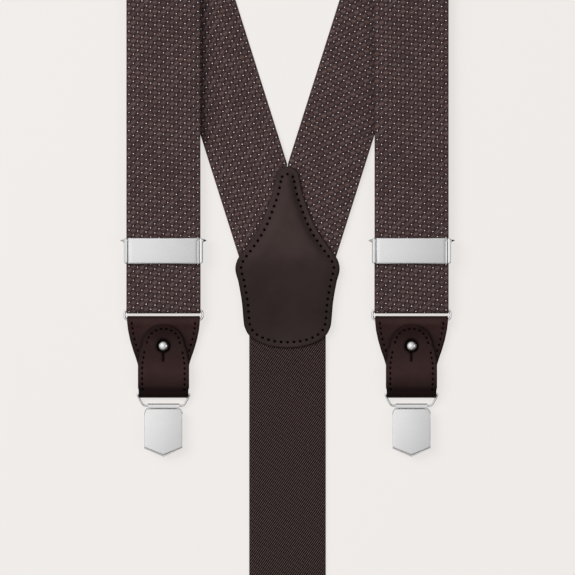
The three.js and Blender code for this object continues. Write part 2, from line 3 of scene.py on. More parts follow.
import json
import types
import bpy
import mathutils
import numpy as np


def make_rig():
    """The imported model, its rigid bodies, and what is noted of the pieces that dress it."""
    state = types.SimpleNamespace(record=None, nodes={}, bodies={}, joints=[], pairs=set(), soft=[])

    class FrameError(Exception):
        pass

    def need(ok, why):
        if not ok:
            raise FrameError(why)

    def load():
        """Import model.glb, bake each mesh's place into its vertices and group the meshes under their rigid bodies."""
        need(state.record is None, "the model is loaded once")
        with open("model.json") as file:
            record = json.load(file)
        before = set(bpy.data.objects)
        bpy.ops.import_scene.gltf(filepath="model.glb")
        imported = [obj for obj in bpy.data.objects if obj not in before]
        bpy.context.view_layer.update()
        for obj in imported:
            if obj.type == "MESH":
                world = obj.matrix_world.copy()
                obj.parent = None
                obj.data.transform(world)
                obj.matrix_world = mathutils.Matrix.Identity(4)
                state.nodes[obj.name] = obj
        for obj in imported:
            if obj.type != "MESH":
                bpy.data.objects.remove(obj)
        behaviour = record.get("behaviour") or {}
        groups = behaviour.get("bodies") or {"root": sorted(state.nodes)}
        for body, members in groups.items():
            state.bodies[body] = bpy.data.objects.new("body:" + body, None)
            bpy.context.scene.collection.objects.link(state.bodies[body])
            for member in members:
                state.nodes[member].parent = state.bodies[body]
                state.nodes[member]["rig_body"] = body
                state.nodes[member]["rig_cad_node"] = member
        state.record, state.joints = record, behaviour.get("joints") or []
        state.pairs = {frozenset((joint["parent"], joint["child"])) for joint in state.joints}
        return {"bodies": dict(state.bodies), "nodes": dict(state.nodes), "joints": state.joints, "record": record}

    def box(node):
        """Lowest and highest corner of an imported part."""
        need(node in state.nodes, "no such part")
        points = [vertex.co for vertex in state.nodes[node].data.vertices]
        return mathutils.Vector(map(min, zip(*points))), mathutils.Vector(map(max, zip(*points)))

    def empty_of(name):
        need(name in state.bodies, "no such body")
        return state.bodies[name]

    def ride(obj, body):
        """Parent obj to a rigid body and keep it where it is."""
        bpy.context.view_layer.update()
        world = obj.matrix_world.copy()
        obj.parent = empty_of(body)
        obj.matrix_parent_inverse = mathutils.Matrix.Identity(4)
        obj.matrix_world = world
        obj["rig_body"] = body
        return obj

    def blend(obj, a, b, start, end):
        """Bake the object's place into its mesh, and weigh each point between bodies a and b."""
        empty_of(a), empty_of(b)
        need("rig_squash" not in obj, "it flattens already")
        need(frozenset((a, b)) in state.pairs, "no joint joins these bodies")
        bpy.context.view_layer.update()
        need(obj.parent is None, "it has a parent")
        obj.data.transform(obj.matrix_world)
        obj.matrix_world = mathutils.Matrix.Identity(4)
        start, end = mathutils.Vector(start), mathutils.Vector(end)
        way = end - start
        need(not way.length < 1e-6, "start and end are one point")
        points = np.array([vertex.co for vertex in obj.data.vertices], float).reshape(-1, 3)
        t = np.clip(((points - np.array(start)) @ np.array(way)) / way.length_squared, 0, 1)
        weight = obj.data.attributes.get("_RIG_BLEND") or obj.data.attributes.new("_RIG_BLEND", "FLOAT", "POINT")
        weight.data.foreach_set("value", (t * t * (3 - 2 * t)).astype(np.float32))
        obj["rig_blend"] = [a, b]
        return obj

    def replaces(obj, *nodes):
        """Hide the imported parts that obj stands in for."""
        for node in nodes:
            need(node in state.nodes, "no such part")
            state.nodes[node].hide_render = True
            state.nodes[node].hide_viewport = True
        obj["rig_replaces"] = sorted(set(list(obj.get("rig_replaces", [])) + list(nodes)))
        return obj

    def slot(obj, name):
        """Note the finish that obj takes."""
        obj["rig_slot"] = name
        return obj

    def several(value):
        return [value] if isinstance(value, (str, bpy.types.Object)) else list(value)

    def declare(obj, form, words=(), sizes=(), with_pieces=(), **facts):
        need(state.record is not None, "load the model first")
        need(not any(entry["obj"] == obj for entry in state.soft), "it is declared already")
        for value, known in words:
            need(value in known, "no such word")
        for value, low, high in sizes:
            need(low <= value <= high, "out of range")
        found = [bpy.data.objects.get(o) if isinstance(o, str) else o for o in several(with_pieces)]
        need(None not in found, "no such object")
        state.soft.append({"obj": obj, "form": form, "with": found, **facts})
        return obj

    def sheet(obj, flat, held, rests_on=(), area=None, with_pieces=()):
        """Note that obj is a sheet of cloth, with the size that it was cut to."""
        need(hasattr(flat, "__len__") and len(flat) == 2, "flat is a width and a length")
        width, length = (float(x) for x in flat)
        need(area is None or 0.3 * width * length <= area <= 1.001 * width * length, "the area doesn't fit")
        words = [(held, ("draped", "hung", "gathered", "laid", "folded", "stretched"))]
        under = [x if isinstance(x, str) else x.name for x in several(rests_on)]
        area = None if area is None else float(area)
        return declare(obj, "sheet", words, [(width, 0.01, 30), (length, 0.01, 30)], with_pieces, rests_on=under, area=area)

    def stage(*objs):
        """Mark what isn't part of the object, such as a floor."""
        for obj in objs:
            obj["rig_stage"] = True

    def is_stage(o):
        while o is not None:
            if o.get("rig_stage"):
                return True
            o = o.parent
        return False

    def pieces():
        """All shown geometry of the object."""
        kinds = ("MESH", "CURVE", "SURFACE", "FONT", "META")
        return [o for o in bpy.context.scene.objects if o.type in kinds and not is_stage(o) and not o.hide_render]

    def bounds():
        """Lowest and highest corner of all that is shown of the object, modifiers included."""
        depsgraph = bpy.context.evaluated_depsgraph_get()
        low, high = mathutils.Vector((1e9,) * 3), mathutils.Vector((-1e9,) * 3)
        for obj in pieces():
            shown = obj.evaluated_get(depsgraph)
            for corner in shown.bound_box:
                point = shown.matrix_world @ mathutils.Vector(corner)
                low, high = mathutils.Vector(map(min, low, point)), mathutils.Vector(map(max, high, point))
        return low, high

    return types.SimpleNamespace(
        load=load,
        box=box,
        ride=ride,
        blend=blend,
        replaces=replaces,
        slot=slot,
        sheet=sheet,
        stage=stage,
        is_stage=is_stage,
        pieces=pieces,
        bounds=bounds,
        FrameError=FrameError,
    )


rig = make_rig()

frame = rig.load()

import json
import math

import bmesh
import bpy
import numpy as np
from mathutils import Vector
from mathutils.geometry import delaunay_2d_cdt

cad_low, cad_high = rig.bounds()
MM = 0.001
GAP = 0.3 * MM
SIDES = ("left", "right", "back")
FRONT_SIDES = ("left", "right")
X_AXIS, Y_AXIS, Z_AXIS = Vector((1, 0, 0)), Vector((0, 1, 0)), Vector((0, 0, 1))


# ---- sizes and places, read from the frame -------------------------------------------------------
def corners(node):
    return tuple(Vector(corner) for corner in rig.box(node))


def centre(node):
    low, high = corners(node)
    return (low + high) / 2


def size(node):
    low, high = corners(node)
    return high - low


def joint(name):
    return next(j for j in frame["joints"] if j["name"] == name)


def joint_point(name):
    return Vector(joint(name)["pos_m"])


body_of = {node: body for body, nodes in frame["record"]["behaviour"]["bodies"].items() for node in nodes}
WEBBING_WIDTH = size("strap_end_left").x
ELASTIC_WIDTH = size("back_elastic").x
STRAP_X = {side: centre(f"strap_end_{side}").x for side in SIDES}
END_Y = {side: corners(f"strap_end_{side}")[0].y for side in SIDES}

# thicknesses
WEBBING, ELASTIC, LEATHER = 0.8 * MM, 1.0 * MM, 1.0 * MM

# heights of the layers' middles above the surface
Z_DIAGONAL, Z_RETURN, Z_MAIN, Z_YOKE_LAYER = 0.5 * MM, 1.6 * MM, 4.8 * MM, 1.5 * MM
Z_BACK_LEATHER, Z_FRONT_LEATHER, Z_FLAP = 1.0 * MM, 2.3 * MM, 3.8 * MM

FOLD_IN = 2.0 * MM                      # the strap fold's axis lies this far inside the strap's end
FOLD_RADIUS = (Z_MAIN - Z_RETURN) / 2
FOLD_SEAM = 4 * MM                      # from the fold's axis to where the webbing lies flat again
DIAGONAL = math.radians(17.5)
MEETING_Y = 49.7 * MM                   # where the two diagonals' inner edges meet
LOOP_RADIUS = 28 * MM
TWIST_LENGTH = 114 * MM
ELASTIC_TOP_Y = 2.7 * MM


# ---- node materials ------------------------------------------------------------------------------
class Value:
    """A node's output that takes part in sums like a number."""

    def __init__(self, graph, socket):
        self.graph = graph
        self.socket = socket

    def __add__(self, other):
        return self.graph.math("ADD", self, other)

    def __sub__(self, other):
        return self.graph.math("SUBTRACT", self, other)

    def __mul__(self, other):
        return self.graph.math("MULTIPLY", self, other)

    def __truediv__(self, other):
        return self.graph.math("DIVIDE", self, other)

    def __pow__(self, other):
        return self.graph.math("POWER", self, other)

    def __abs__(self):
        return self.graph.math("ABSOLUTE", self)

    def __round__(self):
        return self.graph.math("ROUND", self)


class Graph:
    """A short way to write a node tree."""

    def __init__(self, tree):
        self.tree = tree
        tree.nodes.clear()

    def plug(self, target, value):
        """Links a value or a socket to an input, or sets the input to a number or a colour."""
        source = getattr(value, "socket", value)
        if isinstance(source, bpy.types.NodeSocket):
            self.tree.links.new(source, target)
        else:
            target.default_value = value

    def new(self, kind, *values, **settings):
        """A node with its settings made and its first inputs plugged."""
        node = self.tree.nodes.new("ShaderNode" + kind)
        for key, value in settings.items():
            setattr(node, key, value)
        for target, value in zip(node.inputs, values):
            self.plug(target, value)
        return node

    def fill(self, node, **values):
        for key, value in values.items():
            self.plug(node.inputs[key.replace("_", " ")], value)
        return node

    def math(self, operation, a, b=0.0):
        return Value(self, self.new("Math", a, b, operation=operation).outputs[0])

    def smooth(self, value, low, high):
        """0 at low, 1 at high, and an S-shaped change between them."""
        return Value(self, self.new("MapRange", value, low, high, interpolation_type="SMOOTHSTEP").outputs[0])

    def wave(self, value, length):
        return self.math("SINE", value * (2 * math.pi / length))

    def lerp(self, factor, a, b):
        return factor * (b - a) + a

    def mix(self, factor, a, b):
        node = self.new("Mix", factor, data_type="RGBA")
        self.plug(node.inputs[6], a)
        self.plug(node.inputs[7], b)
        return node.outputs[2]

    def dot(self, vector, direction):
        return self.new("VectorMath", vector, direction, operation="DOT_PRODUCT").outputs["Value"]

    def split(self, vector):
        return [Value(self, output) for output in self.new("SeparateXYZ", vector).outputs]

    def join(self, x, y, z=0.0):
        return self.new("CombineXYZ", x, y, z).outputs[0]

    def noise(self, vector, scale, detail):
        node = self.fill(self.new("TexNoise"), Vector=vector, Scale=scale, Detail=detail, Roughness=0.55)
        return Value(self, node.outputs["Fac"])

    def cells(self, vector, scale):
        return Value(self, self.fill(self.new("TexVoronoi"), Vector=vector, Scale=scale).outputs["Distance"])

    def random(self, vector):
        node = self.fill(self.new("TexWhiteNoise", noise_dimensions="2D"), Vector=vector)
        return Value(self, node.outputs["Value"])


class Look(Graph):
    """A material with one principled shader."""

    def __init__(self, name):
        self.material = bpy.data.materials.new(name)
        self.material.use_nodes = True
        super().__init__(self.material.node_tree)
        self.out = self.new("OutputMaterial")
        self.shader = self.new("BsdfPrincipled")
        self.plug(self.out.inputs[0], self.shader.outputs[0])

    def place(self, layer=None):
        """A UV layer's pair of numbers, or the point in the frame, in metres."""
        if layer:
            return self.new("UVMap", uv_map=layer).outputs[0]
        return self.new("TexCoord").outputs["Object"]

    def look(self, **values):
        self.fill(self.shader, **values)

    def bump(self, height, distance, strength):
        node = self.fill(self.new("Bump"), Strength=strength, Distance=distance, Height=height)
        self.look(Normal=node.outputs[0])


def rgb(red, green, blue):
    """A display colour from 0 to 255 as linear values."""
    def linear(c):
        c /= 255
        return c / 12.92 if c <= 0.04045 else ((c + 0.055) / 1.055) ** 2.4
    return (linear(red), linear(green), linear(blue), 1.0)


def woven_cloth(name, layer=None, middle=0.0):
    """Jacquard webbing: satin diamonds between dark outlines, a pale pin dot where the outlines cross."""
    column, rise, fall = 2.03 * MM, 1.915 * MM, 2.355 * MM
    streak_length, weft_length = 0.78 * MM, 0.34 * MM
    dot_radius = 0.206 * MM
    n = Look(name)
    across, along, _ = n.split(n.place(layer))
    across = across - middle
    spot = n.join(across, along)
    wobble = (n.noise(spot, 700, 3) - 0.5) * (0.5 * MM)
    # i and j count the two families of outlines
    columns = (across + wobble) / column
    i = (along + columns * fall) / (rise + fall)
    j = columns - i
    to_i, to_j = i - round(i), j - round(j)
    dot_x, dot_y = (to_i + to_j) * column, to_i * rise - to_j * fall
    reach = n.math("SQRT", dot_x ** 2.0 + dot_y ** 2.0)
    dot = n.smooth(reach, dot_radius * 1.35, dot_radius * 0.7)
    halo = n.smooth(reach, dot_radius * 4.2, dot_radius)
    edge = n.math("MINIMUM", abs(to_i), abs(to_j))
    diamond = n.smooth(edge, 0.0, 0.19)
    arms = n.smooth(edge, 0.06, 0.0) * halo
    shadow = n.smooth(abs(dot_y), 0.5 * MM, 0.1 * MM) * n.smooth(abs(dot_x), 1.0 * MM, 0.45 * MM)
    row_i, row_j = n.math("FLOOR", i), n.math("FLOOR", j)
    tint, other = n.random(n.join(row_i, row_j)), n.random(n.join(row_j, row_i))
    streak = n.wave(across * -0.55 + along * 0.83 + wobble, streak_length)
    yarn = streak * 0.32 + n.wave(along, weft_length) * 0.18 + 0.5
    fuzz = n.noise(spot, 1500, 4)
    outline = n.mix(fuzz, rgb(32, 20, 26), rgb(54, 39, 43))
    face = n.mix(yarn * 0.75 + tint * 0.25, rgb(52, 38, 38), rgb(86, 68, 65))
    # painted highlight: the long threads across a diamond, lightened as if they catch the light
    in_i, in_j = n.math("FRACT", i) - 0.5, n.math("FRACT", j) - 0.5
    in_x, in_y = (in_i + in_j) * column, in_i * rise - in_j * fall
    off = in_y - in_x * n.lerp(other, 0.1, 0.9)
    float_highlight = n.smooth(abs(off), 0.62 * MM, 0.1 * MM) * n.lerp(tint, 0.3, 0.85)
    float_highlight = float_highlight * n.smooth(abs(in_x), 1.6 * MM, 0.5 * MM)
    float_highlight_colour = n.mix(other, rgb(128, 106, 96), rgb(122, 108, 112))
    cloth = n.mix(diamond, outline, face)
    cloth = n.mix(float_highlight * 0.52, cloth, float_highlight_colour)
    cloth = n.mix(shadow * 0.8, cloth, rgb(24, 13, 17))
    cloth = n.mix(arms * 0.16, cloth, rgb(170, 158, 160))
    cloth = n.mix(dot * n.lerp(fuzz, 0.75, 1.0), cloth, rgb(255, 250, 247))
    n.look(Base_Color=cloth, Roughness=n.lerp(fuzz, 0.62, 0.9))
    n.look(Sheen_Weight=0.02, Sheen_Roughness=0.4, Specular_IOR_Level=0.08)
    n.bump(diamond * 0.5 + dot * 0.7 + yarn * 0.35, 0.14 * MM, 0.45)
    return n.material


def twill_elastic(name, layer=None):
    """Fine twill: pale ribs climbing to the right, broken into yarns."""
    climb = math.radians(55)
    rib_spacing, yarn_length = 0.88 * MM, 1.9 * MM
    n = Look(name)
    across, along, _ = n.split(n.place(layer))
    spot = n.join(across, along)
    off = along * math.cos(climb) - across * math.sin(climb)
    on = across * math.cos(climb) + along * math.sin(climb)
    rib = (n.wave(off, rib_spacing) + 1.0) * 0.5
    yarn = (n.wave(on, yarn_length) + 1.0) * 0.5
    fuzz = n.noise(spot, 1100, 4)
    raised = rib * n.lerp(yarn, 0.8, 1.0)
    lit = n.mix(fuzz, rgb(58, 44, 43), rgb(112, 95, 91))
    dark = n.mix(n.noise(spot, 60, 2), rgb(9, 3, 4), rgb(16, 8, 9))
    n.look(Base_Color=n.mix(n.smooth(raised, 0.34, 0.92), dark, lit), Roughness=n.lerp(fuzz, 0.7, 0.95))
    n.look(Sheen_Weight=0.02, Sheen_Roughness=0.5, Specular_IOR_Level=0.08)
    n.bump(raised + fuzz * 0.2, 0.15 * MM, 0.7)
    return n.material


def leather(name, face, shade, deep, roughness):
    """Smooth dyed calf: pebbled grain, mottled dye, polish where it is rubbed, darker by the tone layer, which holds
    burnished edges and painted light and shade.
    """
    n = Look(name)
    # the tone layer: burnished edges plus painted shade and painted highlights
    burnish_and_painted_shade = n.split(n.place("tone"))[0]
    point = n.place()
    fine = n.noise(point, 2600, 5)
    mottle = n.noise(point, 95, 4) * 0.6 + fine * 0.4
    dye = n.mix(n.smooth(mottle, 0.3, 0.7), rgb(*shade), rgb(*face))
    rub = n.lerp(n.noise(point, 30, 2), roughness - 0.08, roughness + 0.1)
    n.look(Base_Color=n.mix(burnish_and_painted_shade, dye, rgb(*deep)), Roughness=rub + fine * 0.06, Specular_IOR_Level=0.11)
    n.bump(n.cells(point, 1500) * 0.7 + fine * 0.6, 0.05 * MM, 0.45)
    return n.material


def thread(name):
    """Waxed thread, twisted and almost black."""
    n = Look(name)
    twist = n.noise(n.place(), 3000, 2)
    n.look(Base_Color=n.mix(twist, rgb(2, 1, 1), rgb(12, 5, 6)), Roughness=n.lerp(twist, 0.5, 0.75))
    n.look(Specular_IOR_Level=0.02)
    n.bump(twist, 0.04 * MM, 0.6)
    return n.material


def metal(name, tone, roughness, brushed=0.0):
    """Plated steel: fine rubbing marks and a slightly uneven polish."""
    n = Look(name)
    point = n.place()
    x, y, z = n.split(point)
    marks = n.noise(n.join(x * 60.0, y * 700.0, z * 700.0), 4, 2)
    cloud = n.noise(point, 160, 2)
    dark = [0.97 * c for c in tone]
    rubbed = n.lerp(marks, roughness * 0.75, roughness * 1.2)
    n.look(Base_Color=n.mix(cloud, rgb(*dark), rgb(*tone)), Roughness=rubbed + cloud * 0.04, Metallic=1.0)
    if brushed:
        n.bump(marks, 0.004 * MM, brushed)
    return n.material


MATERIALS = {
    "loop_cloth": woven_cloth("woven_webbing_loop", "weave"),
    "elastic": twill_elastic("twill_elastic"),
    "elastic_fold": twill_elastic("twill_elastic_fold", "weave"),
    # each leather's last colour is the one the tone layer darkens towards, for burnished edges and painted shade
    "yoke": leather("yoke_leather", (66, 53, 51), (57, 44, 43), (12, 5, 5), 0.46),
    "tab": leather("tab_leather", (62, 43, 41), (52, 33, 32), (9, 0, 0), 0.4),
    "thread": thread("stitching_thread"),
    "chrome": metal("polished_plate", (250, 250, 250), 0.1),
    "satin": metal("satin_plate", (245, 245, 245), 0.22, 0.03),
    "plate": metal("lever_plate", (238, 238, 239), 0.14),
}
for side in FRONT_SIDES:
    MATERIALS[f"cloth_{side}"] = woven_cloth(f"woven_webbing_{side}", None, STRAP_X[side])


# ---- mesh helpers --------------------------------------------------------------------------------
def new_object(name, vertices, faces, material):
    mesh = bpy.data.meshes.new(name)
    mesh.from_pydata([tuple(v) for v in vertices], [], faces)
    mesh.update()
    mesh.materials.append(material)
    mesh.shade_smooth()
    piece = bpy.data.objects.new(name, mesh)
    bpy.context.scene.collection.objects.link(piece)
    return piece


def edit(piece, change):
    """Changes a piece's mesh by a function of its bmesh."""
    bm = bmesh.new()
    bm.from_mesh(piece.data)
    change(bm)
    bm.to_mesh(piece.data)
    bm.free()


def smooth_by_angle(piece, degrees):
    limit = math.radians(degrees)

    def mark(bm):
        for edge in bm.edges:
            edge.smooth = len(edge.link_faces) == 2 and edge.calc_face_angle(0) < limit
    edit(piece, mark)


def give_layer(piece, name, values):
    """Keeps a pair of numbers per vertex as a UV layer: the place on the cloth, or the leather's tone."""
    layer = piece.data.uv_layers.new(name=name)
    for loop in piece.data.loops:
        layer.data[loop.index].uv = values[loop.vertex_index]


def stand_for(piece, slot, *nodes):
    """The piece takes the place of CAD nodes and has the record's material slot."""
    if nodes:
        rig.replaces(piece, *nodes)
    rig.slot(piece, slot)


def skin(rings, count, capped=True):
    """The faces of a body through rings of count vertices each, numbered ring by ring."""
    faces = []
    for ring in range(rings - 1):
        for k in range(count):
            a, b = ring * count + k, ring * count + (k + 1) % count
            faces.append((a, b, b + count, a + count))
    if capped:
        faces.append(tuple(reversed(range(count))))
        faces.append(tuple(range((rings - 1) * count, rings * count)))
    return faces


def signed_area(loop):
    return sum(a[0] * b[1] - b[0] * a[1] for a, b in zip(loop, loop[1:] + loop[:1])) / 2


def ease(t):
    """A smooth step from 0 to 1."""
    return t * t * (3 - 2 * t)


def clamp(t):
    return min(max(t, 0), 1)


def arc(cy, cz, radius, start, end, steps):
    angles = [math.radians(start + (end - start) * k / steps) for k in range(steps + 1)]
    return [(cy + radius * math.cos(a), cz + radius * math.sin(a)) for a in angles]


def steps_between(a, b, spacing):
    count = max(2, round(abs(b - a) / spacing))
    return [a + (b - a) * k / count for k in range(count + 1)]


def heading_at(path, k):
    return (path[min(k + 1, len(path) - 1)] - path[max(k - 1, 0)]).normalized()


# ---- straps --------------------------------------------------------------------------------------
def cloth_section(width, thickness, columns=10):
    """A closed section across a strap: flat faces with rounded selvedges."""
    radius = thickness / 2
    flat = width / 2 - radius
    turn = [math.radians(a) for a in (60, 30, 0, -30, -60)]
    top = [(-flat + 2 * flat * k / columns, radius) for k in range(columns + 1)]
    right = [(flat + radius * math.cos(a), radius * math.sin(a)) for a in turn]
    bottom = [(flat - 2 * flat * k / columns, -radius) for k in range(columns + 1)]
    left = [(-x, -y) for x, y in right]
    return top + right + bottom + left


def ribbon(name, stations, width, thickness, material, along=0.0, way=1):
    """A strap along stations (place, side, normal), with flat ends and its cloth places kept: the first
    station lies at along on the cloth, and later ones further on (way 1) or further back (way -1)."""
    section = cloth_section(width, thickness)
    vertices, places = [], []
    run = along
    for k, (place, side, normal) in enumerate(stations):
        if k:
            run += way * (place - stations[k - 1][0]).length
        for a, h in section:
            vertices.append(place + side * a + normal * h)
            places.append((a, run))
    piece = new_object(name, vertices, skin(len(stations), len(section)), material)
    piece.data.flip_normals()
    smooth_by_angle(piece, 50)
    give_layer(piece, "weave", places)
    return piece


def side_route(x, points):
    """Stations of a strap that keeps its width along X and follows (y, z) points."""
    path = [Vector((x, y, z)) for y, z in points]
    return [(place, X_AXIS.copy(), X_AXIS.cross(heading_at(path, k)).normalized())
            for k, place in enumerate(path)]


def webbing(name, x, points, material, **lay):
    return ribbon(name, side_route(x, points), WEBBING_WIDTH, WEBBING, material, **lay)


def declare_strap(piece, slot, node, width, length, held):
    stand_for(piece, slot, node)
    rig.sheet(piece, flat=(width, length), held=held)


def shoulder_route(mirror):
    """The strap from the foot of its twist, round the standing loop and down the diagonal to the yoke."""
    twist_steps, loop_steps = 40, 40
    standing_z = WEBBING_WIDTH / 2 + GAP
    to_yoke_layer, rise_length = 30 * MM, 22 * MM      # the diagonal climbs to the yoke's layer before it
    under_yoke, spacing = 62 * MM, 4 * MM
    x0 = abs(STRAP_X["left"])
    heading = Vector((math.sin(DIAGONAL), -math.cos(DIAGONAL), 0))
    outboard = Vector((heading.y, -heading.x, 0))
    on_diagonal = Vector((0, MEETING_Y, 0)) + outboard * WEBBING_WIDTH / 2
    loop_x = -x0 - LOOP_RADIUS
    loop_y = (LOOP_RADIUS - outboard.dot(on_diagonal) + outboard.x * loop_x) / -outboard.y
    foot_y = loop_y - TWIST_LENGTH
    stations = []

    def put(place, direction, roll, z):
        """A station rolled about its direction; at a quarter turn the strap stands on its edge."""
        right = Vector((direction.y, -direction.x, 0))
        side = right * math.cos(roll) - Z_AXIS * math.sin(roll)
        normal = Z_AXIS * math.cos(roll) + right * math.sin(roll)
        lift = math.sin(roll)
        stations.append((Vector((place[0], place[1], z * (1 - lift) + standing_z * lift)), side, normal))

    def on_loop(angle):
        return Vector((loop_x + LOOP_RADIUS * math.cos(angle), loop_y + LOOP_RADIUS * math.sin(angle), 0))

    for k in range(twist_steps):
        t = k / twist_steps
        put((-x0, loop_y - TWIST_LENGTH * (1 - t)), Y_AXIS, math.pi / 2 * ease(t), Z_MAIN)
    turn = math.pi + DIAGONAL
    for k in range(loop_steps + 1):
        a = turn * k / loop_steps
        put(on_loop(a), Vector((-math.sin(a), math.cos(a), 0)), math.pi / 2, Z_MAIN)
    left = on_loop(turn)
    for k in range(1, twist_steps + 1):
        t = k / twist_steps
        put(left + heading * TWIST_LENGTH * t, heading, math.pi / 2 * ease(1 - t), Z_DIAGONAL)
    to_yoke = (on_diagonal - left).length
    for distance in steps_between(TWIST_LENGTH, to_yoke + under_yoke, spacing)[1:]:
        climb = ease(clamp((distance - (to_yoke - to_yoke_layer)) / rise_length))
        put(left + heading * distance, heading, 0, Z_DIAGONAL + (Z_YOKE_LAYER - Z_DIAGONAL) * climb)
    if mirror:
        flip = Vector((-1, 1, 1))
        stations = [(p * flip, s * flip * -1, n * flip) for p, s, n in stations]
    return stations, foot_y


def trim_under_yoke(piece, sign):
    """The diagonal is cut along the centre line and above the elastic, as the yoke hides it."""
    def cut(bm):
        centre_line = ((sign * GAP / 2, 0, 0), (-sign, 0, 0))
        above_elastic = ((0, ELASTIC_TOP_Y + GAP, 0), (0, -1, 0))
        for point, normal in (centre_line, above_elastic):
            geometry = bm.verts[:] + bm.edges[:] + bm.faces[:]
            made = bmesh.ops.bisect_plane(bm, geom=geometry, dist=1e-6, plane_co=point, plane_no=normal,
                                          clear_outer=True)
            edges = [e for e in made["geom_cut"] if isinstance(e, bmesh.types.BMEdge)]
            bmesh.ops.holes_fill(bm, edges=edges, sides=0)
    edit(piece, cut)
    smooth_by_angle(piece, 50)


def build_front_strap(side):
    """One strip: from the yoke round the shoulder to the ring, and back up behind to the adjuster."""
    x = STRAP_X[side]
    node, fold_body, slider = f"front_strap_{side}", f"strap_end_{side}", f"adjuster_{side}"
    stations, foot_y = shoulder_route(mirror=side == "right")
    loop = ribbon(f"shoulder_loop_{side}", stations, WEBBING_WIDTH, WEBBING, MATERIALS["loop_cloth"],
                  along=foot_y)
    trim_under_yoke(loop, -1 if side == "left" else 1)
    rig.ride(loop, "harness")
    length = sum((b[0] - a[0]).length for a, b in zip(stations, stations[1:]))
    declare_strap(loop, "woven_webbing", node, WEBBING_WIDTH, length, "folded")

    fold_y = END_Y[side] + FOLD_IN
    seam_y = fold_y + FOLD_SEAM
    run = [(y, Z_MAIN) for y in steps_between(foot_y, seam_y, 3 * MM)][::-1]
    front = webbing(f"front_webbing_{side}", x, run, MATERIALS[f"cloth_{side}"])
    adjuster_top = corners(f"adjuster_frame_{side}")[1].y
    slide = joint(f"adjuster_slide_{side}")["range_m"][1]
    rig.blend(front, "harness", fold_body, start=(x, adjuster_top + slide, Z_MAIN), end=(x, seam_y, Z_MAIN))
    declare_strap(front, "woven_webbing", node, WEBBING_WIDTH, foot_y - seam_y, "laid")

    turn = arc(fold_y, Z_RETURN + FOLD_RADIUS, FOLD_RADIUS, 90, 270, 24)
    fold = webbing(f"ring_fold_{side}", x, [(seam_y, Z_MAIN)] + turn + [(seam_y, Z_RETURN)],
                   MATERIALS["loop_cloth"], along=seam_y, way=-1)
    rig.ride(fold, fold_body)
    fold_length = math.pi * FOLD_RADIUS + 2 * FOLD_SEAM
    declare_strap(fold, "woven_webbing", fold_body, WEBBING_WIDTH, fold_length, "folded")

    bar_y = centre(f"adjuster_frame_{side}").y
    run = [(y, Z_RETURN) for y in steps_between(seam_y, bar_y, 2 * MM)]
    back = webbing(f"return_webbing_{side}", x, run, MATERIALS[f"cloth_{side}"])
    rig.blend(back, "harness", slider, start=(x, 2 * seam_y - bar_y, Z_RETURN), end=(x, bar_y, Z_RETURN))
    declare_strap(back, "woven_webbing", fold_body, WEBBING_WIDTH, bar_y - seam_y, "laid")

    loop_radius, past_bar, sewn_length, cut_length = 1.05 * MM, 1.7 * MM, 12 * MM, 17 * MM
    sewn = [(bar_y, Z_RETURN)] + arc(bar_y + past_bar, Z_RETURN + loop_radius, loop_radius, -90, 90, 14)
    sewn += [(y, Z_RETURN + 2 * loop_radius) for y in steps_between(bar_y, bar_y - sewn_length, 2 * MM)]
    bar = webbing(f"crossbar_loop_{side}", x, sewn, MATERIALS["loop_cloth"])
    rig.ride(bar, slider)
    declare_strap(bar, "woven_webbing", fold_body, WEBBING_WIDTH, cut_length, "folded")


def build_back_elastic():
    end_y = END_Y["back"]
    fold_y = end_y + FOLD_IN
    low = Z_DIAGONAL + 0.1 * MM
    stretch_from, return_length = -60 * MM, 22 * MM
    knots = [(ELASTIC_TOP_Y, Z_YOKE_LAYER), (-38 * MM, Z_YOKE_LAYER), (-58 * MM, low), (end_y + 42 * MM, low),
             (end_y + 12 * MM, Z_MAIN), (fold_y, Z_MAIN)]
    run = []
    for y in steps_between(ELASTIC_TOP_Y, fold_y, 3 * MM):
        (y0, z0), (y1, z1) = next(p for p in zip(knots, knots[1:]) if p[1][0] <= y + 1e-9)
        run.append((y, z0 + (z1 - z0) * ease(clamp((y - y0) / (y1 - y0)))))
    elastic = ribbon("back_elastic_strap", side_route(0, run[::-1]), ELASTIC_WIDTH, ELASTIC,
                     MATERIALS["elastic"])
    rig.blend(elastic, "harness", "strap_end_back", start=(0, stretch_from, low), end=(0, fold_y, low))
    declare_strap(elastic, "elastic", "back_elastic", ELASTIC_WIDTH, ELASTIC_TOP_Y - fold_y, "laid")

    turn = arc(fold_y, Z_RETURN + FOLD_RADIUS, FOLD_RADIUS, 90, 270, 24)
    turn += [(y, Z_RETURN) for y in steps_between(fold_y, fold_y + return_length, 3 * MM)[1:]]
    fold = ribbon("elastic_fold", side_route(0, turn), ELASTIC_WIDTH, ELASTIC, MATERIALS["elastic_fold"],
                  along=fold_y, way=-1)
    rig.ride(fold, "strap_end_back")
    length = math.pi * FOLD_RADIUS + return_length
    declare_strap(fold, "elastic", "strap_end_back", ELASTIC_WIDTH, length, "folded")


# ---- leather -------------------------------------------------------------------------------------
def distance_to(points, outline):
    """Each point's distance to a closed outline."""
    a = np.array(outline)
    b = np.roll(a, -1, axis=0)
    p = np.array(points)[:, None, :]
    ab = (b - a)[None]
    t = np.clip(((p - a[None]) * ab).sum(2) / np.maximum((ab * ab).sum(2), 1e-18), 0, 1)
    near = a[None] + ab * t[..., None]
    return np.sqrt(((p - near) ** 2).sum(2)).min(1)


def inside(points, outline):
    """Whether each point lies inside a closed outline."""
    p, a = np.array(points), np.array(outline)
    b = np.roll(a, -1, axis=0)
    x, y = p[:, 0][:, None], p[:, 1][:, None]
    ax, ay, bx, by = a[None, :, 0], a[None, :, 1], b[None, :, 0], b[None, :, 1]
    dy = np.where(by == ay, 1e-18, by - ay)
    crosses = ((ay > y) != (by > y)) & (x < (bx - ax) * (y - ay) / dy + ax)
    return crosses.sum(1) % 2 == 1


def bell(distance, width):
    """1 at no distance, falling off over a width."""
    return np.exp(-(distance / width) ** 2)


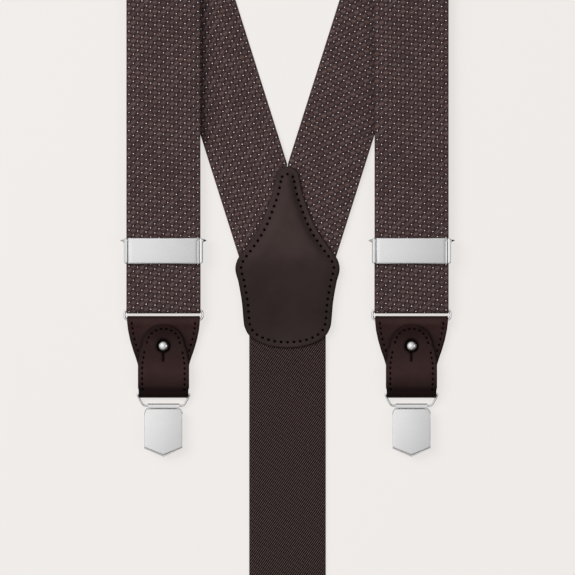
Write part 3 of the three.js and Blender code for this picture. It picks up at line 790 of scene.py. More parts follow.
def resample(outline, spacing):
    """Evenly spaced points along a closed outline, its given corners kept."""
    points = []
    for a, b in zip(outline, outline[1:] + outline[:1]):
        count = max(1, round(math.dist(a, b) / spacing))
        points += [(a[0] + (b[0] - a[0]) * k / count, a[1] + (b[1] - a[1]) * k / count) for k in range(count)]
    return points


def inset_line(outline, inset, spacing):
    """Points at an even spacing along a line inset from a closed outline, with their direction."""
    look_ahead = 0.3 * MM
    fine = resample(outline, 0.5 * MM)
    a = np.array(fine)
    tangent = np.roll(a, -1, axis=0) - np.roll(a, 1, axis=0)
    tangent /= np.linalg.norm(tangent, axis=1)[:, None]
    normal = np.stack([-tangent[:, 1], tangent[:, 0]], 1)
    moved = a + normal * inset * (1 if signed_area(fine) > 0 else -1)
    moved = moved[distance_to(moved, outline) > inset * 0.93]
    ring = np.vstack([moved, moved[:1]])
    run = np.concatenate([[0], np.cumsum(np.linalg.norm(np.diff(ring, axis=0), axis=1))])
    total = run[-1]

    def at(s):
        return np.interp(s, run, ring[:, 0]), np.interp(s, run, ring[:, 1])
    count = round(total / spacing)
    found = []
    for s in (total * k / count for k in range(count)):
        point, ahead = at(s), at((s + look_ahead) % total)
        found.append((point, math.atan2(ahead[1] - point[1], ahead[0] - point[0])))
    return found


def edge_tone(points, edge):
    """Burnished darker over the last half millimetre to a cut edge."""
    return 0.55 * bell(edge, 0.45 * MM)


def sheet_points(loops, rounding, pricks, spacing, creases):
    """The points inside a sheet's loops: lines beside its edge, rings round each stitch, and a grid."""
    extra = []
    for inset in [rounding * step for step in (0.12, 0.35, 0.75, 1.3)] + list(creases):
        extra += [p for p, _ in inset_line(loops[0], inset, 0.9 * MM if inset < rounding * 2 else 0.4 * MM)]
    for (x, y), _ in pricks:
        extra.append((x, y))
        for r, count in ((0.3 * MM, 6), (0.7 * MM, 8)):
            angles = [2 * math.pi * k / count for k in range(count)]
            extra += [(x + r * math.cos(a), y + r * math.sin(a)) for a in angles]
    low, high = np.min(loops[0], axis=0), np.max(loops[0], axis=0)
    grid_x, grid_y = (np.arange(low[k], high[k], spacing) for k in (0, 1))
    extra += [(x + (spacing / 2 if k % 2 else 0), y) for k, y in enumerate(grid_y) for x in grid_x]
    extra = np.array(extra)
    keep = (distance_to(extra, loops[0]) > rounding * 0.1) & inside(extra, loops[0])
    for hole in loops[1:]:
        keep &= ~inside(extra, hole) & (distance_to(extra, hole) > 0.12 * MM)
    return [tuple(p) for p in extra[keep]]


def flat_sheet(loops, points):
    """Triangles, all facing up, between the outline and its holes, through the points."""
    edges, rim = [], []
    for loop in loops:
        start = len(rim)
        rim += [tuple(p) for p in loop]
        edges += [(start + k, start + (k + 1) % len(loop)) for k in range(len(loop))]
    flat, _, faces, *_ = delaunay_2d_cdt([Vector(p) for p in rim + points], edges, [], 0, 1e-6)
    flat = np.array([tuple(p) for p in flat])
    faces = [f for f in faces if len(f) == 3]
    middles = np.array([flat[list(f)].mean(0) for f in faces])
    kept = inside(middles, loops[0])
    for hole in loops[1:]:
        kept &= ~inside(middles, hole)
    upward = []
    for f in (f for f, good in zip(faces, kept) if good):
        corner_points = [tuple(flat[v]) for v in f]
        upward.append(tuple(f) if signed_area(corner_points) > 0 else (f[0], f[2], f[1]))
    return flat, upward


def sheet_piece(name, outline, thickness, bend, material, lift=None, holes=(), pricks=(), spacing=1.2 * MM,
                  tone=edge_tone, creases=()):
    """A closed sheet. outline and holes are flat (x, s) loops, and bend(x, s, height) puts a point in the
    frame. lift(points, edge distance) shapes the face, pricks are stitch places where it dips, creases are
    insets where it needs a line of points, and tone(points, edge distance) darkens it."""
    loops = [resample(list(outline), 0.8 * MM)] + [resample(list(hole), 0.35 * MM) for hole in holes]
    rounding = min(thickness * 0.4, 0.4 * MM)
    flat, faces = flat_sheet(loops, sheet_points(loops, rounding, pricks, spacing, creases))
    edge = np.min([distance_to(flat, loop) for loop in loops], axis=0)
    drop = np.clip(rounding - edge, 0, rounding)
    round_off = rounding - np.sqrt(np.maximum(rounding ** 2 - drop ** 2, 0))
    top, low = thickness / 2 - round_off, round_off - thickness / 2
    if lift:
        top += lift(flat, edge)
    shade = tone(flat, edge) if tone else np.zeros(len(flat))
    if pricks:
        near = np.min([np.hypot(flat[:, 0] - p[0], flat[:, 1] - p[1]) for p, _ in pricks], axis=0)
        top -= 0.22 * MM * bell(near, 0.42 * MM)
        shade = np.maximum(shade, 0.5 * bell(near, 0.75 * MM))
    count = len(flat)
    vertices = [bend(x, s, h) for heights in (top, low) for (x, s), h in zip(flat, heights)]
    sheet, used = [], set()
    for f in faces:
        sheet += [f, tuple(v + count for v in reversed(f))]
        used.update(((f[0], f[1]), (f[1], f[2]), (f[2], f[0])))
    sheet += [(a, a + count, b + count, b) for a, b in sorted(used) if (b, a) not in used]
    keepers = sorted({v for f in sheet for v in f})
    index = {v: k for k, v in enumerate(keepers)}
    faces = [tuple(index[v] for v in f) for f in sheet]
    piece = new_object(name, [vertices[v] for v in keepers], faces, material)
    if tone:
        both = np.concatenate([shade, np.maximum(shade, 0.35)])
        give_layer(piece, "tone", [(float(both[v]), 0.0) for v in keepers])
    return piece


def declare_leather(piece, outline, holes, held, rests_on):
    """States the flat size and area that a leather piece is cut to."""
    xs, ys = [p[0] for p in outline], [p[1] for p in outline]
    cut = abs(signed_area(outline)) - sum(abs(signed_area(hole)) for hole in holes)
    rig.sheet(piece, flat=(max(xs) - min(xs), max(ys) - min(ys)), area=cut, held=held, rests_on=rests_on)


def stitches(name, marks, bend, height, length, width, body):
    """One short padded length of thread at each mark, its ends sunk into the leather."""
    rings, sides = 6, 6
    vertices, faces = [], []
    for (x, s), angle in marks:
        dx, dy = math.cos(angle), math.sin(angle)
        start = len(vertices)
        for r in range(rings + 1):
            t = r / rings * 2 - 1
            radius = width / 2 * math.sqrt(max(1 - t * t, 0.02))
            on, sunk = t * length / 2, height - width * 0.3 * t * t
            for a in (2 * math.pi * k / sides for k in range(sides)):
                off, up = radius * math.cos(a), radius * math.sin(a)
                vertices.append(bend(x + dx * on - dy * off, s + dy * on + dx * off, sunk + up))
        faces += [tuple(start + v for v in reversed(face)) for face in skin(rings + 1, sides)]
    seam = new_object(name, vertices, faces, MATERIALS["thread"])
    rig.ride(seam, body)
    stand_for(seam, "leather")


def flat_bend(x, y, z):
    return lambda across, along, height: Vector((x + across, y + along, z + height))


# the right half of the yoke's edge, from its point down to its foot, in mm
YOKE_EDGE = [(0, 48.9), (2.9, 48.1), (5.0, 45.9), (5.9, 42.2), (7.1, 36.4), (9.2, 30.2), (11.5, 24.1),
             (14.5, 18.2), (18.45, 12.3), (22.2, 7.3), (23.8, 4.6), (24.6, 1.8), (24.55, -0.8),
             (23.9, -3.4), (23.2, -5.9), (21.6, -15.1), (20.8, -24.1), (20.2, -27.2), (18.6, -30.4),
             (16.0, -32.8), (12.4, -34.7), (7, -36.3), (0, -36.9)]


def yoke_outline():
    """The yoke's edge all round: the right half's points and their mirror image, smoothed."""
    half = [(x * MM, y * MM) for x, y in YOKE_EDGE]
    knots = half + [(-x, y) for x, y in half[-2:0:-1]]
    count = len(knots)
    points = []
    for k in range(count):
        a, b, c, d = (np.array(knots[(k + m) % count]) for m in (-1, 0, 1, 2))
        for t in (0, 0.25, 0.5, 0.75):
            square, cube = 2 * a - 5 * b + 4 * c - d, 3 * b - a - 3 * c + d
            p = 0.5 * (2 * b + (c - a) * t + square * t * t + cube * t ** 3)
            points.append(tuple(p))
    return points


def build_yoke():
    outline = yoke_outline()
    seam_inset, point_y = 2.75 * MM, 46 * MM

    def towards_foot(y):
        """The seam runs a little further from the edge round the yoke's point."""
        return y - 0.9 * MM * math.exp(-((y - point_y) / (2.5 * MM)) ** 2)
    marks = [((x, towards_foot(y)), angle) for (x, y), angle in inset_line(outline, seam_inset, 3.0 * MM)]

    def padding(points, edge):
        t = np.clip((edge - 2.9 * MM) / (5 * MM), 0, 1)
        up = np.clip((points[:, 1] + 12 * MM) / (30 * MM), 0, 1)
        return (0.25 + 0.95 * up) * MM * ease(t) - 0.12 * MM * bell(edge - seam_inset, 0.5 * MM)

    def tone(points, edge):
        """Painted light and shade: lightest below the neck, darker to the foot and the sides, a painted shadow down
        the right side of the neck, and burnished edges.
        """
        x, y = points[:, 0] / MM, points[:, 1] / MM
        # painted shade along the yoke's length, darker towards the foot, and below darker towards the sides
        painted_shade = np.interp(y, [-36, -28, -20, -12, -5, 2, 8, 14, 21, 30, 38, 47],
                         [0.34, 0.46, 0.5, 0.48, 0.44, 0.38, 0.16, 0.08, 0.0, 0.04, 0.1, 0.2])
        painted_shade = painted_shade + 0.12 * (x / 22) ** 2
        # painted shadow down the right side of the neck, inside the seam
        neck = np.clip((y - 2) / 14, 0, 1) * np.clip(x / 3, 0, 1)
        return np.clip(painted_shade + 0.55 * neck * bell(edge / MM - 3.9, 1.6) + 0.8 * edge_tone(points, edge), 0, 1)

    flat = flat_bend(0, 0, centre("yoke_front_leather").z)
    face = sheet_piece("yoke_face", outline, LEATHER, flat, MATERIALS["yoke"], padding, pricks=marks,
                       tone=tone)
    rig.ride(face, "harness")
    stand_for(face, "leather", "yoke_front_leather")
    declare_leather(face, outline, [], "laid",
                    ["shoulder_loop_left", "shoulder_loop_right", "back_elastic_strap"])
    stitches("yoke_stitching", marks, flat, LEATHER / 2 - 0.1 * MM, 1.6 * MM, 1.3 * MM, "harness")

    small = [(x * 0.988, y * 0.993) for x, y in outline]
    under = flat_bend(0, 0, centre("yoke_back_leather").z)
    lining = sheet_piece("yoke_lining", small, size("yoke_back_leather").z, under, MATERIALS["yoke"],
                         spacing=2.5 * MM)
    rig.ride(lining, "harness")
    stand_for(lining, "leather", "yoke_back_leather")
    declare_leather(lining, small, [], "laid", [])


class Bend:
    """Bends a flat sheet (x, s) along a route of (y, z) points; s runs from 0 along the route."""

    def __init__(self, x, points):
        self.x = x
        self.points = np.array(points)
        steps = np.linalg.norm(np.diff(self.points, axis=0), axis=1)
        self.run = np.concatenate([[0], np.cumsum(steps)])
        tangent = np.gradient(self.points, self.run, axis=0)
        tangent /= np.linalg.norm(tangent, axis=1)[:, None]
        self.normal = np.stack([-tangent[:, 1], tangent[:, 0]], 1)

    def __call__(self, x, s, h):
        y, z = (np.interp(s, self.run, self.points[:, k]) for k in (0, 1))
        ny, nz = (np.interp(s, self.run, self.normal[:, k]) for k in (0, 1))
        return Vector((self.x + x, y + ny * h, z + nz * h))

    def at(self, y, last=True):
        """The run at which the route last, or else first, passes the level y."""
        hits = [k for k in range(len(self.run) - 1)
                if (self.points[k][0] - y) * (self.points[k + 1][0] - y) <= 0]
        k = hits[-1 if last else 0]
        a, b = self.points[k][0], self.points[k + 1][0]
        share = (y - a) / (b - a) if abs(b - a) > 1e-12 else 0
        return self.run[k] + (self.run[k + 1] - self.run[k]) * share


def eased(knots, spacing=0.5 * MM):
    """A finely stepped route through (y, z) knots, its corners rounded."""
    points = [Vector(k) for k in knots]
    for _ in range(3):
        cut = [points[0]]
        for a, b in zip(points, points[1:]):
            cut += [a * 0.75 + b * 0.25, a * 0.25 + b * 0.75]
        points = cut + [points[-1]]
    dense = []
    for a, b in zip(points, points[1:]):
        count = max(1, math.ceil((b - a).length / spacing))
        dense += [tuple(a + (b - a) * k / count) for k in range(count)]
    return dense + [tuple(points[-1])]


def mirrored(right):
    return [(-w, s) for w, s in reversed(right)]


# the flap's round end: how far its top and its springing lie below the strap's end, and its half width
ARCH_TOP, ARCH_FOOT, ARCH_HALF = 5.3 * MM, 14.9 * MM, 9.9 * MM


def tab_half_width(d):
    """The tab's half width at a distance below the strap's end: full width, a taper, then parallel."""
    levels = [0, 4, 7.8, 12.6, 17.2, 21, 24.3, 60]
    return float(np.interp(d / MM, levels, [17.25, 17.2, 16.8, 15.8, 14.45, 13.1, 12.1, 12.1])) * MM


def flap_half_width(d):
    levels = [ARCH_FOOT / MM, 17.2, 24.3, 33, 36.5, 45]
    return float(np.interp(d / MM, levels, [ARCH_HALF / MM, 10.9, 12.05, 12.05, 11.75, 11.6])) * MM


def depths(points, route, top):
    """How far below the strap's end each flat point of a bent sheet lies, in mm."""
    return np.array([(top - route(0, s, 0).y) / MM for s in points[:, 1]])


def build_tab(side):
    """The end's leather: a face folded over the ring, and a strip round the clip ring that buttons on it."""
    build_tab_face(side)
    build_tab_strip(side)


def build_tab_face(side):
    x, y0 = STRAP_X[side], END_Y[side]
    ring, stud = joint_point(f"tab_swing_{side}"), centre(f"stud_{side}")
    fold, shank_radius = 1.35 * MM, 1.3 * MM
    seam_inset, seam_spacing = 2.2 * MM, 2.7 * MM

    def level(d):
        return y0 - d * MM
    front = [(level(35.5), Z_FRONT_LEATHER), (level(8.8), Z_FRONT_LEATHER), (level(6.5), 3.0 * MM),
             (level(4.9), 4.15 * MM)]
    over = arc(ring.y, ring.z, fold, 130, -90, 26)
    behind = [over[-1], (level(4.6), ring.z - fold), (level(9), Z_BACK_LEATHER)]
    route = Bend(x, eased(front)[:-1] + over + eased(behind)[1:])

    def half_width(s):
        return tab_half_width(y0 - route(0, s, 0).y)
    right = [(half_width(s), s) for s in np.linspace(0, route.run[-1], 60)]
    outline = right + mirrored(right)
    seam = np.arange(route.at(level(4.4), last=False), route.at(level(22.0), last=False), -seam_spacing)
    marks = []
    for sign in (-1, 1):
        for s in seam:
            slope = (half_width(s + MM) - half_width(s)) / MM
            marks.append(((sign * (half_width(s) - seam_inset), s), math.atan2(1, sign * slope)))
    stud_s = route.at(stud.y, last=False)
    shank = [(shank_radius * math.cos(a), stud_s + shank_radius * math.sin(a))
             for a in np.linspace(0, 2 * math.pi, 24, endpoint=False)]

    def tone(points, edge):
        """Painted highlight over the crest below the ring, painted shade just under the ring and close beside the
        flap, and burnished edges.
        """
        arch_half, arch_top = 10.2, ARCH_TOP / MM
        d = depths(points, route, y0)
        # painted light and shade down the face: dark just under the ring, a painted highlight over the crest, darker
        # again lower down
        crest = np.interp(d, [0, 1.9, 3.6, 6.2, 8.5, 12, 20], [0.7, 0.5, 0.08, 0.08, 0.36, 0.5, 0.62])
        arch = np.sqrt(np.clip(arch_half ** 2 - np.clip(arch_top + arch_half - d, 0, None) ** 2, 0, None))
        # painted shade close beside the flap's edge
        beside = np.clip(np.abs(points[:, 0]) / MM - arch, 0, None)
        return np.clip(crest + 0.22 * bell(beside, 0.9) * (d > arch_top) + edge_tone(points, edge), 0, 1)

    face = sheet_piece(f"tab_face_{side}", outline, LEATHER, route, MATERIALS["tab"], holes=[shank],
                       pricks=marks, tone=tone)
    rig.ride(face, f"tab_{side}")
    stand_for(face, "leather", f"tab_front_{side}")
    declare_leather(face, outline, [shank], "folded", [f"strap_ring_{side}"])
    stitches(f"tab_stitching_{side}", marks, route, LEATHER / 2 - 0.05 * MM, 1.6 * MM, 0.95 * MM,
             f"tab_{side}")


def build_tab_strip(side):
    """Down behind the tab, round the clip ring, and up in front as the buttoned flap."""
    x, y0 = STRAP_X[side], END_Y[side]
    body, flap_body = f"tab_{side}", f"flap_{side}"
    bar, stud = joint_point(f"flap_open_{side}"), centre(f"stud_{side}")
    hole_radius, slit = 2.85 * MM, 0.28 * MM
    hinge = 0.9 * MM

    def level(d):
        return y0 - d * MM
    under = [(y, Z_BACK_LEATHER) for y in steps_between(level(9.4), bar.y, MM)][:-1]
    round_bar = arc(bar.y, bar.z, (Z_FLAP - Z_BACK_LEATHER) / 2, 270, 90, 30)
    rise = [(37.4, 3.85 * MM), (35.4, 4.15 * MM), (31.5, 4.75 * MM), (27.5, 4.75 * MM), (22.5, 4.05 * MM),
            (17, Z_FLAP), (10.8, Z_FLAP), (8.4, 4.3 * MM), (6.3, 5.1 * MM), (4, 6.6 * MM)]
    strip = Bend(x, under + round_bar + eased([(level(d), z) for d, z in rise]))
    arch_s, bottom = strip.at(y0 - ARCH_FOOT), strip.at(bar.y)
    arch_rise = strip.at(y0 - ARCH_TOP) - arch_s

    def half_width(s):
        place = strip(0, s, 0)
        d = y0 - place.y
        behind = place.z < bar.z and d < 33 * MM
        return tab_half_width(d) - 0.05 * MM if behind else flap_half_width(d)
    right = [(half_width(s), s) for s in np.arange(0, arch_s, MM)]
    arch = [(ARCH_HALF * math.cos(a), arch_s + arch_rise * math.sin(a)) for a in np.linspace(0, math.pi, 30)]
    outline = right + arch + mirrored(right)
    hole_s, slit_end = strip.at(stud.y), strip.at(level(22.4))
    gap_angle = math.asin(slit / hole_radius)
    keyhole = [(hole_radius * math.cos(a), hole_s + hole_radius * math.sin(a))
               for a in np.linspace(-math.pi / 2 + gap_angle, 1.5 * math.pi - gap_angle, 40)]
    keyhole += [(-slit, slit_end), (0, slit_end - slit), (slit, slit_end)]
    flap_side = [(w, s) for w, s in right if s > bottom]
    lowest, seam_half = strip.at(level(36.8)), 8.8 * MM
    marks = [(p, angle) for p, angle in inset_line(flap_side + arch + mirrored(flap_side), 2.0 * MM, 2.5 * MM)
             if p[1] > lowest and (abs(p[0]) > seam_half or p[1] > arch_s)]

    def tone(points, edge):
        """Painted light and shade in bands down the flap's swell, darkest towards its foot, and a dark ring round the
        stud.
        """
        # painted light and shade along the strip, darkest towards the fold at its foot
        painted_bands = np.interp(depths(points, strip, y0),
                           [5, 7.6, 11, 13.5, 17, 20.8, 24, 28, 31, 34, 35.6, 38, 40],
                           [0.5, 0.68, 0.66, 0.5, 0.45, 0.4, 0.24, 0.2, 0.4, 0.58, 0.95, 0.86, 0.84])
        # darker in a ring just outside the keyhole round the stud
        ring_round_stud = bell(np.hypot(points[:, 0], points[:, 1] - hole_s) / MM - 2.9, 0.7)
        return np.clip(painted_bands + 0.5 * ring_round_stud + 0.35 * edge_tone(points, edge), 0, 1)

    flap = sheet_piece(f"tab_strip_{side}", outline, LEATHER, strip, MATERIALS["tab"], holes=[keyhole],
                         pricks=marks, tone=tone)
    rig.blend(flap, body, flap_body, start=(x, bar.y, bar.z - hinge), end=(x, bar.y, bar.z + hinge))
    stand_for(flap, "leather", f"tab_back_{side}", f"tab_flap_{side}")
    declare_leather(flap, outline, [keyhole], "folded", [f"clip_wire_{side}"])
    stitches(f"flap_stitching_{side}", marks, strip, LEATHER / 2 - 0.05 * MM, 1.6 * MM, 0.95 * MM, flap_body)


# ---- metal ---------------------------------------------------------------------------------------
def tube(name, points, radius, sides=20):
    """A round wire through points."""
    path = [Vector(p) for p in points]
    vertices = []
    for k, place in enumerate(path):
        heading = heading_at(path, k)
        side = heading.cross(Z_AXIS).normalized()
        up = side.cross(heading)
        for a in (2 * math.pi * m / sides for m in range(sides)):
            vertices.append(place + side * radius * math.cos(a) + up * radius * math.sin(a))
    piece = new_object(name, vertices, skin(len(path), sides), MATERIALS["chrome"])
    piece.data.flip_normals()
    smooth_by_angle(piece, 50)
    return piece


def rounded(knots, radius, steps=8):
    """A path through knots whose corners are turned over a radius."""
    knots = [Vector(k) for k in knots]
    path = [knots[0]]
    for before, knot, after in zip(knots, knots[1:], knots[2:]):
        start = knot + (before - knot).normalized() * radius
        end = knot + (after - knot).normalized() * radius
        for t in (k / steps for k in range(steps + 1)):
            path.append(start * (1 - t) ** 2 + knot * 2 * t * (1 - t) + end * t * t)
    return path + [knots[-1]]


def build_rings(side):
    """The strap's closed ring, and the clip's ring whose bar turns in the clip's barrel."""
    low, high = corners(f"ring_{side}")
    x, z = (low.x + high.x) / 2, (low.z + high.z) / 2
    r = (high.z - low.z) / 2
    half, top, foot = (high.x - low.x) / 2 - r, high.y - r, low.y + r
    butt = 0.05 * MM
    right = [(butt, foot), (half, foot), (half, top)]
    knots = [(x + a, y, z) for a, y in right] + [(x - a, y, z) for a, y in reversed(right)]
    loop = tube(f"strap_ring_{side}", rounded(knots, 1.9 * MM), r)
    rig.ride(loop, f"ring_{side}")
    stand_for(loop, "polished_metal", f"ring_{side}")

    bar, barrel = joint_point(f"clip_ring_swing_{side}"), joint_point(f"clip_swing_{side}")
    r = 0.55 * MM
    half = size(f"clip_ring_{side}").x / 2 - r + 0.15 * MM
    x = centre(f"ring_{side}").x
    right = [(5.5 * MM, barrel), (9.6 * MM, barrel), (half, bar)]
    knots = [(x + a, p.y, p.z) for a, p in right] + [(x - a, p.y, p.z) for a, p in reversed(right)]
    wire = tube(f"clip_wire_{side}", rounded(knots, 1.3 * MM), r)
    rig.ride(wire, f"clip_ring_{side}")
    stand_for(wire, "polished_metal", f"clip_ring_{side}")


def softened(node, name, width, material, slot, segments=3):
    """A copy of a CAD piece with its edges rolled over, standing for it."""
    piece = bpy.data.objects.new(name, frame["nodes"][node].data.copy())
    bpy.context.scene.collection.objects.link(piece)
    piece.data.materials.clear()
    piece.data.materials.append(MATERIALS[material])

    def clean(bm):
        bmesh.ops.remove_doubles(bm, verts=bm.verts, dist=1e-6)
        bmesh.ops.dissolve_limit(bm, angle_limit=math.radians(1.5), verts=bm.verts, edges=bm.edges)
    edit(piece, clean)
    if width:
        bevel = piece.modifiers.new("edges", "BEVEL")
        bevel.width = width
        bevel.segments = segments
        bevel.limit_method = "ANGLE"
        bevel.angle_limit = math.radians(32)
        bpy.context.view_layer.objects.active = piece
        with bpy.context.temp_override(object=piece, active_object=piece, selected_objects=[piece]):
            bpy.ops.object.modifier_apply(modifier="edges")
    piece.data.shade_smooth()
    smooth_by_angle(piece, 35)
    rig.ride(piece, body_of[node])
    stand_for(piece, slot, node)


# the stud's outline from its axis below to its axis above, as (radius, height) in mm
STUD_PROFILE = [(0, 0.95), (0.85, 0.95), (0.95, 1.05), (0.95, 2.95), (2.0, 3.05), (2.1, 3.2),
                (2.0, 3.35), (1.35, 3.5), (1.25, 3.9), (1.3, 4.3), (2.1, 4.42), (2.28, 4.6),
                (2.35, 4.85), (2.3, 5.1), (2.12, 5.4), (1.8, 5.68), (1.4, 5.88), (0.9, 6.02),
                (0.45, 6.08), (0, 6.1)]


def build_stud(side):
    """A turned stud: shank, washer, neck and domed head."""
    middle, sides = centre(f"stud_{side}"), 40
    angles = [2 * math.pi * k / sides for k in range(sides)]
    vertices = [(middle.x + r * MM * math.cos(a), middle.y + r * MM * math.sin(a), z * MM)
                for r, z in STUD_PROFILE for a in angles]
    stud = new_object(f"stud_dome_{side}", vertices, skin(len(STUD_PROFILE), sides, capped=False),
                      MATERIALS["chrome"])

    def close(bm):
        bmesh.ops.remove_doubles(bm, verts=bm.verts, dist=1e-7)
        bmesh.ops.recalc_face_normals(bm, faces=bm.faces)
    edit(stud, close)
    smooth_by_angle(stud, 40)
    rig.ride(stud, f"tab_{side}")
    stand_for(stud, "polished_metal", f"stud_{side}")


def prism(loop, low, high, place):
    """A loop of (u, v) points given a thickness from low to high, as vertices and faces."""
    loop = loop if signed_area(loop) > 0 else loop[::-1]
    vertices = [place(u, v, w) for w in (low, high) for u, v in loop]
    return vertices, skin(2, len(loop))


def sideways(x, y=0.0):
    """Places a (y, z) section that is given its thickness along X."""
    return lambda u, v, w: Vector((x + w, y + u, v))


def merged(name, solids, material):
    """Several plain solids as one piece, its normals outwards."""
    vertices, faces = [], []
    for more, their_faces in solids:
        faces += [tuple(v + len(vertices) for v in face) for face in their_faces]
        vertices += more
    piece = new_object(name, vertices, faces, MATERIALS[material])
    edit(piece, lambda bm: bmesh.ops.recalc_face_normals(bm, faces=bm.faces))
    smooth_by_angle(piece, 35)
    return piece


def build_adjuster_frame(side):
    """Two arms with a rolled lip, their outer corners rounded, and the crossbar under the strap."""
    node = f"adjuster_frame_{side}"
    low, high = corners(node)
    middle, half, half_y = centre(node), (high.x - low.x) / 2, (high.y - low.y) / 2
    wall, lip, corner, roll = 1.0 * MM, 1.8 * MM, 0.9 * MM, 0.9 * MM
    bar_half, bar_sheet = 1.5 * MM, 0.7 * MM
    crest, foot = high.z + 0.05 * MM, low.z
    section = [(half, foot)] + arc(half - roll, crest - roll, roll, 0, 90, 8)
    section += [(half - lip + 0.25 * MM, crest - 0.08 * MM), (half - lip, crest - 0.3 * MM),
                (half - lip, crest - 0.45 * MM), (half - wall, crest - 0.5 * MM), (half - wall, foot)]
    rows = half_y * np.sin(np.linspace(-math.pi / 2, math.pi / 2, 25))
    solids = []
    for sign in (-1, 1):
        vertices = []
        for y in rows:
            over = max(abs(y) - (half_y - corner), 0)
            pull = corner - math.sqrt(max(corner ** 2 - over ** 2, 0))
            for x, z in section:
                inward = pull * max((x - (half - wall)) / wall, 0)
                dip = 0.3 * pull if z > crest - MM else 0
                vertices.append(Vector((middle.x + sign * (x - inward), middle.y + y, z - dip)))
        solids.append((vertices, skin(len(rows), len(section))))
    bar_top = foot + bar_sheet
    crossbar = [(-bar_half, foot), (bar_half, foot), (bar_half, bar_top), (-bar_half, bar_top)]
    solids.append(prism(crossbar, -half + wall, half - wall, sideways(middle.x, middle.y)))
    arms = merged(f"adjuster_body_{side}", solids, "chrome")
    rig.ride(arms, f"adjuster_{side}")
    stand_for(arms, "polished_metal", node)


def build_adjuster_lever(side):
    """The lever: a bowed plate, and under it two flanges round the pin and a row of teeth."""
    node, body = f"adjuster_lever_{side}", f"lever_{side}"
    middle, half_y = centre(f"adjuster_frame_{side}"), size(f"adjuster_frame_{side}").y / 2
    half, top = size(node).x / 2, corners(node)[1].z
    pin = joint_point(node)
    pin_y = pin.y - middle.y
    sheet, eye, tooth_tip, tooth_root = 0.6 * MM, 0.8 * MM, 5.5 * MM, 6.0 * MM

    def crown(points, edge):
        x, y = np.abs(points[:, 0]), points[:, 1]
        roll_off = np.clip(1 - (half - x) / (1.9 * MM), 0, 1) ** 2
        # the upper edge keeps its height, as it dips towards the webbing when the lever opens
        roll_off *= np.clip((half_y - y) / (1.6 * MM), 0, 1)
        bow = 0.4 * MM * (x / half) ** 2 + 0.12 * MM * np.minimum(y / half_y, 0) ** 2
        return -0.32 * MM * roll_off - bow

    outline = [(-half, -half_y), (half, -half_y), (half, half_y), (-half, half_y)]
    plate = sheet_piece(f"adjuster_plate_{side}", outline, sheet,
                        flat_bend(middle.x, middle.y, top - sheet / 2 + 0.2 * MM), MATERIALS["plate"], crown,
                        spacing=0.4 * MM, tone=None)
    smooth_by_angle(plate, 50)
    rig.ride(plate, body)
    stand_for(plate, "polished_metal", node)

    under, front = top - sheet - 0.1 * MM, -half_y + 0.3 * MM
    flange = [(front, under), (front, tooth_tip), (pin_y, pin.z - eye)]
    flange += arc(pin_y, pin.z, eye, math.degrees(-1.2), 0, 4) + [(pin_y + eye, under)]
    solids = [prism(flange, sign * (half - 0.9 * MM), sign * (half - 0.3 * MM), sideways(middle.x, middle.y))
              for sign in (-1, 1)]
    count, reach = 14, half - MM
    teeth = [(-reach, under + 0.1 * MM)]
    for k in range(count):
        teeth += [(-reach + 2 * reach * k / count, tooth_root),
                  (-reach + 2 * reach * (k + 0.5) / count, tooth_tip)]
    teeth += [(reach, tooth_root), (reach, under + 0.1 * MM)]
    solids.append(prism(teeth, -half_y + 0.2 * MM, -half_y + 0.8 * MM,
                        lambda u, v, w: Vector((middle.x + u, middle.y + w, v))))
    grip = merged(f"adjuster_grip_{side}", solids, "chrome")
    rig.ride(grip, body)
    stand_for(grip, "polished_metal", node)


def build_cover(side):
    """The clip's front lever: a bowed plate with a pointed, chamfered foot, and two wings to the axle."""
    node = f"clip_cover_{side}"
    low, high = corners(node)
    x, half = (low.x + high.x) / 2, (high.x - low.x) / 2
    axle = centre(f"clip_axle_{side}")
    sheet, eye = 0.6 * MM, 1.2 * MM
    chamfer, chamfer_drop, top_corner = 0.8 * MM, 0.56 * MM, 0.8 * MM
    top, tip, corner = high.y, low.y, low.y + 3.6 * MM
    shoulder = top - 2.2 * MM
    fall = math.hypot(half, corner - tip)

    def crown(points, edge):
        px, py = np.abs(points[:, 0]), points[:, 1]
        to_foot = ((py - tip) * half - px * (corner - tip)) / fall
        foot = np.clip(1 - to_foot / chamfer, 0, 1)
        bow = 0.26 * MM * (px / half) ** 2 + 0.34 * MM * ((py - (top + tip) / 2) / ((top - tip) / 2)) ** 2
        return -chamfer_drop * foot - bow

    right = [(half - top_corner, top), (half, shoulder), (half, corner), (0, tip)]
    outline = right + [(-w, y) for w, y in right[-2::-1]]
    cover = sheet_piece(f"clip_lever_{side}", outline, sheet, flat_bend(x, 0, high.z - sheet / 2 + 0.1 * MM),
                        MATERIALS["satin"], crown, spacing=0.4 * MM, tone=None,
                        creases=(0.76 * MM, 0.86 * MM))
    smooth_by_angle(cover, 60)
    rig.ride(cover, node)
    stand_for(cover, "satin_metal", node)

    under, wing_foot = high.z - sheet - 0.05 * MM, corner + 0.4 * MM
    wing = [(wing_foot, under), (wing_foot, 4.2 * MM), (axle.y - 4 * MM, 4.0 * MM),
            (axle.y - 1.5 * MM, axle.z - 0.3 * MM)]
    wing += arc(axle.y, axle.z, eye, math.degrees(-2.5), 0, 7) + [(axle.y + 0.6 * MM, under)]
    solids = [prism(wing, sign * (half - 0.7 * MM), sign * (half - 0.15 * MM), sideways(x))
              for sign in (-1, 1)]
    wings = merged(f"clip_wings_{side}", solids, "satin")
    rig.ride(wings, node)
    stand_for(wings, "satin_metal", node)


